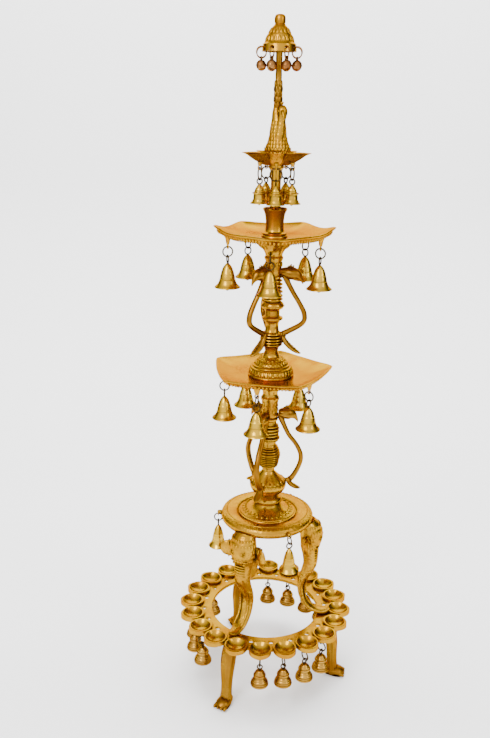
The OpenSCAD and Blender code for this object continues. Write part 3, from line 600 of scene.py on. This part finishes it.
def nearest(angle, corners):
    """The angle away from the nearest corner, and that corner's lift."""
    return min((gap(angle, corner), lift) for corner, lift in corners)


def pinched(angle, reach, corners):
    """How far out the edge of a large tray is: short sides with a drawn-out lip at each corner."""
    away, _ = nearest(angle, corners)
    return reach * (0.845 + 0.141 * math.exp(-(away / 16) ** 1.35))


def lipped(angle, reach, corners):
    """How far out the edge of the small top tray is: five long lips, like a star."""
    away = nearest(angle, corners)[0] / 36
    return reach * (0.53 + 0.47 * (1 - min(away, 1)) ** 1.5)


def tray(stations, reach, corners, edge, hub=3.0, steps=180):
    """Stations are (share of the way out, height). The rim rises at each corner by its lift."""
    dish = turn([(share * 100, z) for share, z in stations], steps)
    for corner in dish.verts:
        share = math.hypot(corner.co.x, corner.co.y) / MM / 100
        if share > 0.04:
            angle = angle_of(corner.co)
            wanted = hub + share * (edge(angle, reach, corners) - hub)
            away, lift = nearest(angle, corners)
            corner.co.x, corner.co.y = corner.co.x * wanted / share / 100, corner.co.y * wanted / share / 100
            corner.co.z += lift * MM * math.exp(-(away / 15) ** 2) * max(0, (share - 0.6) / 0.4) ** 1.6
    return dish


def large_tray(node, reach, corners, bells):
    """A tray with a chased skirt under its rim and a prong for each bell."""
    z = TRAY[node]
    under = z - 15
    dish = tray([(0, under), (0.3, under), (0.5, under + 0.3), (0.66, under + 0.8), (0.78, under + 1.6),
                 (0.87, z - 11.8), (0.90, z - 10.2),
                 (0.945, z - 6.2), (0.965, z - 4.8), (0.99, z - 3.6), (1.0, z - 2.2), (1.0, z - 0.9),
                 (0.988, z - 0.1), (0.972, z - 0.1),
                 (0.955, z - 1.0), (0.91, z - 3.0), (0.84, z - 5.6), (0.75, z - 8.2), (0.64, z - 10.2),
                 (0.5, z - 11.4), (0.3, z - 11.8), (0, z - 11.8)],
                reach, corners, pinched)
    for size, share, height, lean, count in ((4.0, 0.925, -8.0, 30, 90), (2.2, 0.87, -12.4, 58, 110)):
        tongue = leaf(size, size * 0.52, size * 0.36)
        for k in range(count):
            angle = k * 360 / count
            away, lift = nearest(angle, corners)
            rise = lift * math.exp(-(away / 15) ** 2) * 0.6
            place(dish, tongue, facing(angle, 3 + share * (pinched(angle, reach, corners) - 3), z + height + rise)
                  @ tipped(lean + 180, "Y"), keep=True)
        tongue.free()
    for name in bells:
        angle, out, eye = hinge(name)
        prong = limb([(0, z - 9.6 - eye, 9, 6), (0, z - 14 - eye, 6.4, 4.2), (0, 7, 4.6, 3.2), (0, 3.6, 3.4, 2.2)],
                     14)
        place(dish, prong, facing(angle, out, eye))
        place(dish, wire_ring(6.8, 2.4, True), facing(angle, out, eye))
    return piece(dish, node + "_dish", "bright_brass", stands_for=(node,), hard=32, weld=False)


large_tray("lower_tray", 114, ((27, 1), (99, 3), (171, 2), (-117, 3), (-45, 1)), hung_on("lower_bell"))
large_tray("middle_tray", 106, ((3, -1), (88, 8), (150, 3), (-144, 3), (-84, 8)), hung_on("middle_bell"))

# %% [markdown]
# The top tray is smaller, with five long lips. It is spun in the same way, and its edge dips between the lips.

# %% Top tray
z = TRAY["top_tray"]
b = high("waisted_column")
star = tray([(0, b), (0.32, b), (0.42, b + 2), (0.55, b + 6), (0.70, b + 11), (0.84, z - 4.6), (0.95, z - 1.8),
             (1, z - 0.9), (1, z - 0.2), (0.985, z),
             (0.93, z - 0.7), (0.82, z - 3), (0.68, b + 14), (0.52, b + 8.4), (0.4, b + 4.6), (0.3, b + 3.2),
             (0, b + 3.2)],
            60, [(72 * k, 0) for k in range(5)], lipped)
for corner in star.verts:
    away = abs((angle_of(corner.co) + 36) % 72 - 36) / 36
    r = math.hypot(corner.co.x, corner.co.y) / MM
    corner.co.z += 2.6 * MM * max(0, (r - 18) / 42) * (0.35 - abs(away - 0.35)) * 2
for name in hung_on("top_bell"):
    angle, out, eye = hinge(name)
    place(star, limb([(0, b + 4.5 - eye, 4, 4.6), (0, 3.2, 2.2, 3.2)], 12), facing(angle, out, eye))
    place(star, wire_ring(6.4, 2.2, False), facing(angle, out, eye))
for corner in star.verts:
    corner.co.z = min(corner.co.z, z * MM)
piece(star, "top_tray_star", "bright_brass", stands_for=("top_tray",), hard=34, weld=False)

# %% [markdown]
# ## Dome, upper stem and column
# The lower tray carries a chased dome in two steps, covered in rows of leaves. Each row leans as the slope does
# under it, which is why its angle changes from row to row.

# %% Dome
base, dome_up = low("dome_base"), high("dome_base") - low("dome_base")
dome = turn([(0, 0), (40, 0), (41, 1.4), (41, 3), (40, 4.4), (39, 5), (37.6, 9), (35.6, 13.4), (36.2, 14.4),
             (36, 16), (34, 17), (33, 17.4), (32.6, 18.6),
             (33, 19.8), (31.8, 21), (29.6, 21.6), (27.6, 24.4), (24.4, 28.2), (23.6, 28.8), (23.6, 30.2),
             (21.4, 31.4), (18.6, 33.2), (16, 35.4),
             (14.2, 37.4), (13.6, 39.4), (13.6, dome_up), (0, dome_up)], 72)
place(dome, leaf(5.2, 3.0, 1.7), *ring_of(30, 37.6, 9.2, lean=-20))
place(dome, leaf(2.6, 1.5, 1.2), *ring_of(30, 38.6, 6.6, lean=-14, start=6))
place(dome, leaf(4.6, 2.6, 1.5), *ring_of(24, 27.2, 25, lean=-42))
place(dome, bead(1.2), *ring_of(54, 36.2, 15))
place(dome, leaf(3.8, 2.2, 1.3), *ring_of(18, 20.4, 32, lean=-56, start=6))
raise_up(dome, base)
piece(dome, "dome_turned", "chased_brass", stands_for=("dome_base",), hard=34, weld=False)

# %% [markdown]
# The upper stem repeats the lower one at a smaller size: ribs, a collar, a bowl, seven more ribs and a capital.

# %% Upper stem
rise = high("upper_stem") - low("upper_stem")
outline = [(0, 0), (12, 0), (12, 6), (12.6, 9), (14.4, 11.6)]
for z_here, r in ((15.6, 18.6), (20.6, 20.4), (25.8, 21), (31, 20.2), (35.6, 17.6)):
    outline += [(r - 3, z_here - 2.2), (r, z_here - 1), (r + 0.4, z_here), (r, z_here + 1), (r - 3, z_here + 2.2)]
outline += [(12.6, 40), (11.6, 46), (11.6, 54), (13.4, 58), (15, 60.4), (18.4, 61.4), (18.8, 63.2), (18.4, 65),
            (15, 66), (12.8, 68.4), (12.8, 77.6),
            (14.8, 79.6), (18.4, 81.6), (20, 84.6), (20.2, 87), (19, 90), (16.4, 92.6), (13.8, 94)]
for k in range(7):
    z_here, r = 97.6 + 6.6 * k, (17.4, 16.6, 17.2, 16.2, 16.8, 15.8, 16.4)[k]
    outline += [(r - 3.4, z_here - 2), (r, z_here - 0.8), (r + 0.3, z_here), (r, z_here + 0.9), (r - 3.4, z_here + 2)]
outline += [(13.4, 146), (14.4, 150), (14, 154), (14, 164), (16, 168), (16.6, 171), (14.6, 174), (15.6, 178),
            (18.4, 183), (22, 188), (27, 192.6),
            (31, 196), (33, 199.6), (33, rise), (0, rise)]
upper = turn(outline, 56)
place(upper, leaf(4.4, 2.4, 1.3), *ring_of(16, 14.4, 158.6))
place(upper, leaf(5, 2.6, 1.4), *ring_of(20, 24.6, 190, lean=48))
place(upper, bead(1.1), *ring_of(22, 20.2, 85.8))
raise_up(upper, low("upper_stem"))
piece(upper, "upper_stem_turned", "polished_brass", stands_for=("upper_stem",), hard=36, weld=False)

# %% [markdown]
# The column above the middle tray is left plain and bright, so its outline alone gives the look of turned brass.

# %% Waisted column
rise = high("waisted_column") - low("waisted_column")
column = turn([(0, 0), (22.4, 0), (22.4, 2), (21.6, 3.2), (20, 3.8), (20, 4.8), (21.2, 5.8), (21.2, 7), (19.6, 8),
               (17.4, 8.8), (16.2, 10.4),
               (15.6, 14), (15.4, 20), (15.6, 27), (16.4, 34), (17.8, 40), (19.4, 44), (20.8, 46), (21, 47.4),
               (20.2, 48.8), (18, 49.6), (9.6, 50.6),
               (8.5, 52), (8.5, rise - 9), (10, rise - 6), (13, rise - 4), (13, rise), (0, rise)], 64)
raise_up(column, low("waisted_column"))
piece(column, "column_turned", "bright_brass", stands_for=("waisted_column",), hard=36)

# %% [markdown]
# ## Peacock, pole and canopy
# The finial is a peacock standing in the top tray. Its body and its neck are two limbs that overlap, with a beak,
# eyes and a crest of five plumes. Rows of leaves make the feathers, each row turned half a leaf from the last.

# %% Peacock
z0 = low("peacock")
body = limb([(1, z0, 12, 14), (1.5, z0 + 6, 15, 19.5), (2, z0 + 14, 17.5, 21.5), (2, z0 + 22, 17.5, 20.4),
             (1.5, z0 + 31, 15.5, 17), (1.5, z0 + 41, 13.4, 14.4),
             (1.8, z0 + 52, 12.4, 13.4), (1.6, z0 + 62, 11.2, 12.6), (0.4, z0 + 71, 9, 10.4),
             (-1.6, z0 + 80, 7, 7.6), (-2, z0 + 90, 5, 5)], 24, 4)
place(body, limb([(0, z0 + 36, 7, 8), (2.5, z0 + 50, 7, 8), (4, z0 + 62, 6.6, 7), (5, z0 + 72, 6.6, 6.8),
                  (5.8, z0 + 80, 8, 8.2), (5.4, z0 + 87, 7.2, 7.4),
                  (4.8, z0 + 92, 3, 3.6)], 16, 4), moved(2, -8, 0))
place(body, limb([(3, z0 + 83, 3.2, 3.4), (9, z0 + 79, 2.4, 2.6), (12.5, z0 + 73, 0.8, 0.8)], 10, 3),
      moved(6, -10, 0) @ tipped(-72, "Z"))
for side in (-1, 1):
    place(body, bead(1.8, 2), moved(7.4 + side * 5.6, -12.4, z0 + 83))
for k in range(5):
    place(body, limb([(0, 0, 0.9, 0.9), (0.4 * (k - 2), 4, 0.8, 0.8), (0.9 * (k - 2), 6.4, 1.5, 1.5),
                      (0.9 * (k - 2), 7.6, 0.6, 0.6)], 6, 2),
          moved(6.8, -8, z0 + 90))
for row in range(9):
    height = z0 + 14 + 6.2 * row
    wide = (21, 21, 18.8, 16.4, 14.6, 13.4, 12.6, 11.8, 10.8)[row]
    deep = (17, 17.6, 16.6, 15, 13.4, 12.4, 11.8, 10.8, 9.8)[row]
    count = (18, 20, 20, 18, 16, 14, 12, 11, 10)[row]
    plume = leaf(5.4, 3.1, 1.5)
    for k in range(count):
        around = math.tau * (k + 0.5 * (row % 2)) / count
        place(body, plume, moved(1.4 + wide * math.cos(around), deep * math.sin(around), height)
              @ Matrix.Rotation(around, 4, "Z") @ tipped(180 + (10 if row < 2 else -12), "Y"), keep=True)
    plume.free()
piece(body, "peacock_cast", "chased_brass", stands_for=("peacock",), hard=55, weld=False)

# %% [markdown]
# A knotted pole rises behind the peacock's head and carries the canopy. Small leaves hide where its knots swell.

# %% Pole
z0, z1 = low("canopy_pole"), high("canopy_pole")
pole = turn([(0, z0), (6.6, z0), (6.9, z0 + 5), (5.9, z0 + 8), (6.8, z0 + 12), (7, z0 + 15), (5.8, z0 + 19),
             (6.6, z0 + 23), (6.8, z0 + 26), (5.6, z0 + 30),
             (6.2, z0 + 34), (6.3, z0 + 37), (5.2, z0 + 41), (5.4, z0 + 52), (5.0, z0 + 60), (5.4, z0 + 78),
             (5.4, z1 - 16), (7, z1 - 9), (9, z1 - 5), (9, z1), (0, z1)], 28)
place(pole, leaf(5, 2.4, 1.4), *[m for k in range(5) for m in ring_of(6, 6.3, z0 + 5 + 8 * k, start=30 * (k % 2))])
piece(pole, "pole_cast", "aged_brass", stands_for=("canopy_pole",), hard=50, weld=False)

# %% [markdown]
# The canopy has two leafy steps and a plain pierced band. The holes are cut in the frame, so its shell is kept, and
# the chasing is laid over it as leaves and beads. A plain turned knob closes the top.

# %% Canopy and knob
canopy = from_cad("canopy")
piece(canopy, "canopy_shell", "bright_brass", stands_for=("canopy",), hard=30)
z0 = low("canopy")
chasing = bmesh.new()
place(chasing, leaf(5, 2.7, 1.3), *ring_of(20, 21.8, z0 + 19, lean=-17))
place(chasing, leaf(5.2, 2.5, 1.3), *ring_of(16, 16.2, z0 + 30.6, lean=-28, start=9))
place(chasing, bead(0.9), *ring_of(44, 23.2, z0 + 14.6))
place(chasing, bead(0.9), *ring_of(34, 19.4, z0 + 25))
piece(chasing, "canopy_chasing", "chased_brass", hard=60, weld=False)
z0, z1 = low("canopy_knob"), high("canopy_knob")
knob = turn([(0, z0), (8.6, z0), (8.8, z0 + 1), (8.0, z0 + 1.8), (8.6, z0 + 3), (9, z0 + 4.4), (9, z0 + 10),
             (8.7, z0 + 11.4), (8, z1 - 2.4), (6.4, z1 - 0.8), (4, z1), (0, z1)], 40)
piece(knob, "knob_turned", "bright_brass", stands_for=("canopy_knob",), hard=40)

# %% [markdown]
# ## Bells
# Each bell is turned to an outline, outside and inside, and hangs on bent wire. The hinge of its body is where its
# top ring meets the lug, so the piece is built below that point and turned to face outwards. Three outlines serve
# all the bells: flared under the large trays and the stool, beehive under the cup ring, ridged under the top tray.

# %% Bell outlines
BELL_WALL = 1.6


def flared(r, h):
    outer = [(r - BELL_WALL, 0), (r - 0.4, -0.1), (r, 0.5), (r * 0.985, 1.3), (r * 0.9, 2.8), (r * 0.8, 5.0),
             (r * 0.72, 7.4), (r * 0.66, 10.4), (r * 0.62, 13.4),
             (r * 0.615, 14.2), (r * 0.585, 14.6), (r * 0.575, h * 0.44), (r * 0.52, h * 0.54),
             (r * 0.505, h * 0.57), (r * 0.515, h * 0.585), (r * 0.49, h * 0.61),
             (r * 0.44, h * 0.70), (r * 0.38, h * 0.79), (r * 0.30, h * 0.87), (r * 0.20, h * 0.94),
             (r * 0.1, h - 0.3), (0, h)]
    inner = [(0, h * 0.9 - BELL_WALL), (r * 0.2, h * 0.86 - BELL_WALL), (r * 0.38 - BELL_WALL, h * 0.76),
             (r * 0.50 - BELL_WALL, h * 0.53), (r * 0.60 - BELL_WALL, h * 0.34),
             (r * 0.70 - BELL_WALL, 8.4), (r * 0.82 - BELL_WALL, 4.6), (r * 0.93 - BELL_WALL, 1.6),
             (r - BELL_WALL, 0)]
    return outer + inner


def beehive(r, h):
    outer = [(r - BELL_WALL, 0), (r, 0), (r * 1.015, 1.4), (r * 1.0, 3), (r * 0.93, 3.6), (r * 0.96, 4.6),
             (r * 0.95, 6.4), (r * 0.87, 7.2), (r * 0.88, 8.4), (r * 0.85, 9.8),
             (r * 0.76, 11), (r * 0.76, 12), (r * 0.68, 13.6), (r * 0.58, 15.6), (r * 0.55, 17), (r * 0.6, 17.8),
             (r * 0.69, 18.6), (r * 0.71, 20), (r * 0.68, 21.6),
             (r * 0.6, 22.4), (r * 0.61, 23.6), (r * 0.56, 25.4), (r * 0.46, 27), (r * 0.44, 28.2), (r * 0.32, 30),
             (r * 0.14, h - 0.3), (0, h)]
    inner = [(0, h - 3), (r * 0.3, h - 4), (r * 0.5, h * 0.7), (r * 0.46, h * 0.56), (r * 0.6, h * 0.42),
             (r * 0.84 - BELL_WALL, 9), (r * 0.94 - BELL_WALL, 4), (r - BELL_WALL, 0)]
    return outer + inner


def ridged(r, h):
    outer = [(r - BELL_WALL, 0), (r, 0.2), (r * 0.96, 1.4), (r * 0.84, 3), (r * 0.75, 5), (r * 0.69, 7.6),
             (r * 0.665, 8), (r * 0.66, 12), (r * 0.63, 15.4),
             (r * 0.66, 16.2), (r * 0.78, 16.8), (r * 0.80, 17.6), (r * 0.77, 18.4), (r * 0.58, 19.2),
             (r * 0.56, 21), (r * 0.50, 21.6), (r * 0.50, 23.4),
             (r * 0.42, 25.6), (r * 0.3, 28.6), (r * 0.14, h - 0.3), (0, h)]
    inner = [(0, h - 3), (r * 0.26, h - 5), (r * 0.46 - BELL_WALL / 2, h * 0.66), (r * 0.6 - BELL_WALL, h * 0.5),
             (r * 0.66 - BELL_WALL, 8), (r * 0.8 - BELL_WALL, 3.6), (r - BELL_WALL, 0.2)]
    return outer + inner


# %% [markdown]
# A bell with its rings is made once for each kind and copied to its hinges. Neighbouring rings stand across each
# other, as links of a chain do, so the wire of one passes through the hole of the next.

# %% Bells
# Each kind: outline, lip radius, height, diameters of the top ring, the second ring and the crown's loop, then the
# clapper's radius and its drop below the lip, and whether the top ring stands across.
KINDS = {
    "ring_bell": (beehive, 16.5, 32, 10, 18, 9, 3.2, 3, True),
    "stool_bell": (flared, 18.3, 44, 15, 0, 11, 3.4, 5, False),
    "lower_bell": (flared, 22.3, 42, 17, 0, 13, 4, 6, False),
    "middle_bell": (flared, 22.3, 42, 17, 0, 13, 4, 6, False),
    "top_bell": (ridged, 15.5, 32, 20, 0, 9, 3.2, 3, True),
}
WIRE = 2.6  # a little over the frame's 2 mm, as hand-bent ends are
STEP = 2.3  # how far one ring hooks into the next


def bell_shape(outline, r, h, ring, second, loop, weight, drop, across):
    lip = ring + (second - STEP if second else 0) + loop - STEP + 0.4 + h
    shape = bmesh.new()
    place(shape, turn(outline(r, h), 40), moved(0, 0, -lip), material=0)
    place(shape, turn([(0, -drop), (weight * 0.4, -drop + 0.4), (weight * 0.9, -drop + 2.2), (weight, 0.6),
                       (weight * 0.8, 3), (0.9, 5), (0.9, h * 0.88), (0, h * 0.88)], 14),
          moved(0, 0, -lip), material=1)
    crown_across = across if second else not across
    place(shape, wire_ring(loop, WIRE, crown_across, 20), moved(0, 0, -lip + h + (loop + 2) / 2 - 0.6), material=1)
    place(shape, wire_ring(ring, WIRE, across), moved(0, 0, -ring / 2), material=1)
    if second:
        place(shape, wire_ring(second, WIRE, not across), moved(0, 0, -ring + STEP - second / 2), material=1)
    return shape


for kind, numbers in KINDS.items():
    pattern = bell_shape(*numbers)
    for name in hung_on(kind):
        bell = place(bmesh.new(), pattern, facing(*hinge(name)), keep=True)
        face = "dim_bell_brass" if kind == "ring_bell" else "bell_brass"
        piece(bell, name + "_turned", (face, "dark_wire"), body=name, stands_for=(name,), hard=40, weld=False)
    pattern.free()

# %% [markdown]
# The jingle bells are closed balls with a slit, on large rings through the band's holes. The ball is turned, and
# the faces across its lower middle are taken out for the slit, with a second, smaller ball inside to close the view.

# %% Jingle bells
for name in hung_on("jingle_bell"):
    angle, out, eye = hinge(name)
    ball = eye - low(name) - 8.2
    jingle = wire_ring(16.8, 2, False)
    raise_up(jingle, high(name) - eye - 9.4)
    shell = turn([(0, -8.2), (2.9, -7.7), (5.4, -6.2), (7.2, -4), (8.0, -1.4), (8.3, -0.9), (8.4, 0), (8.3, 0.9),
                  (8.0, 1.4), (7.2, 4), (5.4, 6.2),
                  (3.4, 7.5), (2.2, 7.9), (2.2, 8.9), (0, 9.1)], 30)
    mouth = [face for face in shell.faces if abs(face.calc_center_median().y) < 0.75 * MM
             and face.calc_center_median().z < -2 * MM]
    bmesh.ops.delete(shell, geom=mouth, context="FACES")
    inner = turn([(0, -7.0), (4.6, -5.3), (6.9, -1.2), (6.9, 1.2), (4.6, 5.3), (0, 7.0)], 20)
    place(shell, inner)
    place(shell, wire_ring(5.4, 1.6, True, 16), moved(0, 0, 10.4))
    place(jingle, shell, moved(0, 0, -ball))
    bmesh.ops.transform(jingle, matrix=facing(angle, out, eye), verts=jingle.verts[:])
    piece(jingle, name + "_cast", "ghungroo_bronze", body=name, stands_for=(name,), hard=50, weld=False)

# %% [markdown]
# The studs that join the castings are hidden inside. They keep their plain shape and get a dull steel.

# %% Hidden studs
studs = frame["nodes"]["assembly_studs"]
studs.data.materials.clear()
studs.data.materials.append(FINISH["dark_steel"])

# %% [markdown]
# ## Floor, light and camera
# The lamp stands on a pale cloth that curves up behind it. The curve is an outline drawn out sideways, so no
# corner shows between floor and wall.

# %% Pale floor and backdrop
cloth = bmesh.new()
CLOTH_WIDTH, CLOTH_FRONT, CURVE_START, CURVE_R, CLOTH_TOP = 3.6, -2.2, 1.0, 0.8, 4.2
turns = [math.pi / 2 * k / 12 for k in range(1, 13)]
curve = [(CURVE_START + CURVE_R * math.sin(t), CURVE_R - CURVE_R * math.cos(t)) for t in turns]
profile = [(CLOTH_FRONT, 0), (CURVE_START, 0)] + curve + [(CURVE_START + CURVE_R, CLOTH_TOP)]
line = [cloth.verts.new((-CLOTH_WIDTH / 2, y, z)) for y, z in profile]
edges = [cloth.edges.new(pair) for pair in zip(line, line[1:])]
swept = bmesh.ops.extrude_edge_only(cloth, edges=edges)["geom"]
bmesh.ops.translate(cloth, vec=(CLOTH_WIDTH, 0, 0), verts=[g for g in swept if isinstance(g, bmesh.types.BMVert)])
bmesh.ops.recalc_face_normals(cloth, faces=cloth.faces[:])
for face in cloth.faces:
    face.smooth = True
mesh = bpy.data.meshes.new("backdrop")
cloth.to_mesh(mesh)
cloth.free()
backdrop = bpy.data.objects.new("backdrop", mesh)
bpy.context.scene.collection.objects.link(backdrop)
pale = Shader("pale_cloth", Roughness=0.95)
pale.surface.inputs["Specular IOR Level"].default_value = 0.1
crease = pale.node("ShaderNodeTexNoise", {},
                   {"Vector": pale.node("ShaderNodeTexCoord", output=OBJECT), "Scale": 1.6, "Detail": 3.0})
pale.set("Base Color", pale.node("ShaderNodeMix", {"data_type": "RGBA"},
                                 {0: crease, A: (0.88, 0.88, 0.89, 1), B: (0.93, 0.93, 0.935, 1)}, output=MIXED))
mesh.materials.append(pale.material)

# %% [markdown]
# Metal shows its surroundings, so the sky is bright in front and above and dark at the sides, which draws the dark
# edges of each turned shape. The lamps that light the cloth are hidden from reflections, because a white lamp
# mirrored in a flat tray washes its gold out.

# %% Sky and lamps
BRIGHT_SIDE = (-0.16, -0.90, 0.40)
SKY_STOPS = ((0.42, (0.05, 0.045, 0.04, 1)), (0.93, (2.3, 2.3, 2.25, 1)))
world = bpy.context.scene.world or bpy.data.worlds.new("studio")
bpy.context.scene.world = world
world.use_nodes = True
tree = world.node_tree
tree.nodes.clear()
out = tree.nodes.new("ShaderNodeOutputWorld")
sky = tree.nodes.new("ShaderNodeBackground")
coords = tree.nodes.new("ShaderNodeTexCoord")
aim = tree.nodes.new("ShaderNodeVectorMath")
aim.operation = "DOT_PRODUCT"
aim.inputs[1].default_value = Vector(BRIGHT_SIDE).normalized()
ramp = tree.nodes.new("ShaderNodeValToRGB")
for stop, (position, colour) in zip(ramp.color_ramp.elements, SKY_STOPS):
    stop.position, stop.color = position, colour
half = tree.nodes.new("ShaderNodeMapRange")
half.inputs[1].default_value = -1.0
tree.links.new(coords.outputs["Generated"], aim.inputs[0])
tree.links.new(aim.outputs["Value"], half.inputs[0])
tree.links.new(half.outputs[0], ramp.inputs[0])
tree.links.new(ramp.outputs[0], sky.inputs[0])
sky.inputs[1].default_value = 1.0
tree.links.new(sky.outputs[0], out.inputs[0])


def area(name, place_at, target, size, power, glossy=True):
    """A soft lamp of a width and height in metres and a power in watts, turned to its target."""
    data = bpy.data.lights.new(name, "AREA")
    data.shape, data.size, data.size_y, data.energy = "RECTANGLE", size[0], size[1], power
    lamp = bpy.data.objects.new(name, data)
    bpy.context.scene.collection.objects.link(lamp)
    lamp.location = place_at
    lamp.visible_glossy = glossy
    lamp.rotation_euler = (Vector(target) - Vector(place_at)).to_track_quat("-Z", "Y").to_euler()


area("key", (-1.1, -1.9, 2.3), (0, 0, 0.6), (0.9, 1.6), 60)
area("fill", (1.9, -1.2, 1.6), (0, 0, 0.6), (0.35, 1.6), 16)
area("above", (0, 0.5, 3.4), (0, 0.5, 0), (3.4, 2.6), 130, glossy=False)
area("backdrop_wash", (0, 0.3, 3.2), (0, 1.8, 1.2), (3.4, 0.6), 95, glossy=False)

# %% [markdown]
# The camera stands a little over a metre high and looks down, so the trays show their tops and the feet stay in
# view. Its tilt and roll are small, as with a camera held by hand.

# %% Camera
LENS, SENSOR = 40.976, 36.0  # millimetres
STATION = (0, -1.44023, 1.0806)  # metres
PITCH, YAW, ROLL = 17.568, -1.852, 0.971  # degrees
view = bpy.data.cameras.new("camera")
view.lens, view.sensor_width = LENS, SENSOR
camera = bpy.data.objects.new("camera", view)
bpy.context.scene.collection.objects.link(camera)
pitch, yaw, roll = (math.radians(a) for a in (PITCH, YAW, ROLL))
forward = Vector((math.sin(yaw) * math.cos(pitch), math.cos(yaw) * math.cos(pitch), -math.sin(pitch)))
right = Vector((math.cos(yaw), -math.sin(yaw), 0))
up = right.cross(forward)
right, up = right * math.cos(roll) + up * math.sin(roll), up * math.cos(roll) - right * math.sin(roll)
camera.matrix_world = Matrix.Translation(STATION) @ Matrix((right, up, -forward)).transposed().to_4x4()
bpy.context.scene.camera = camera
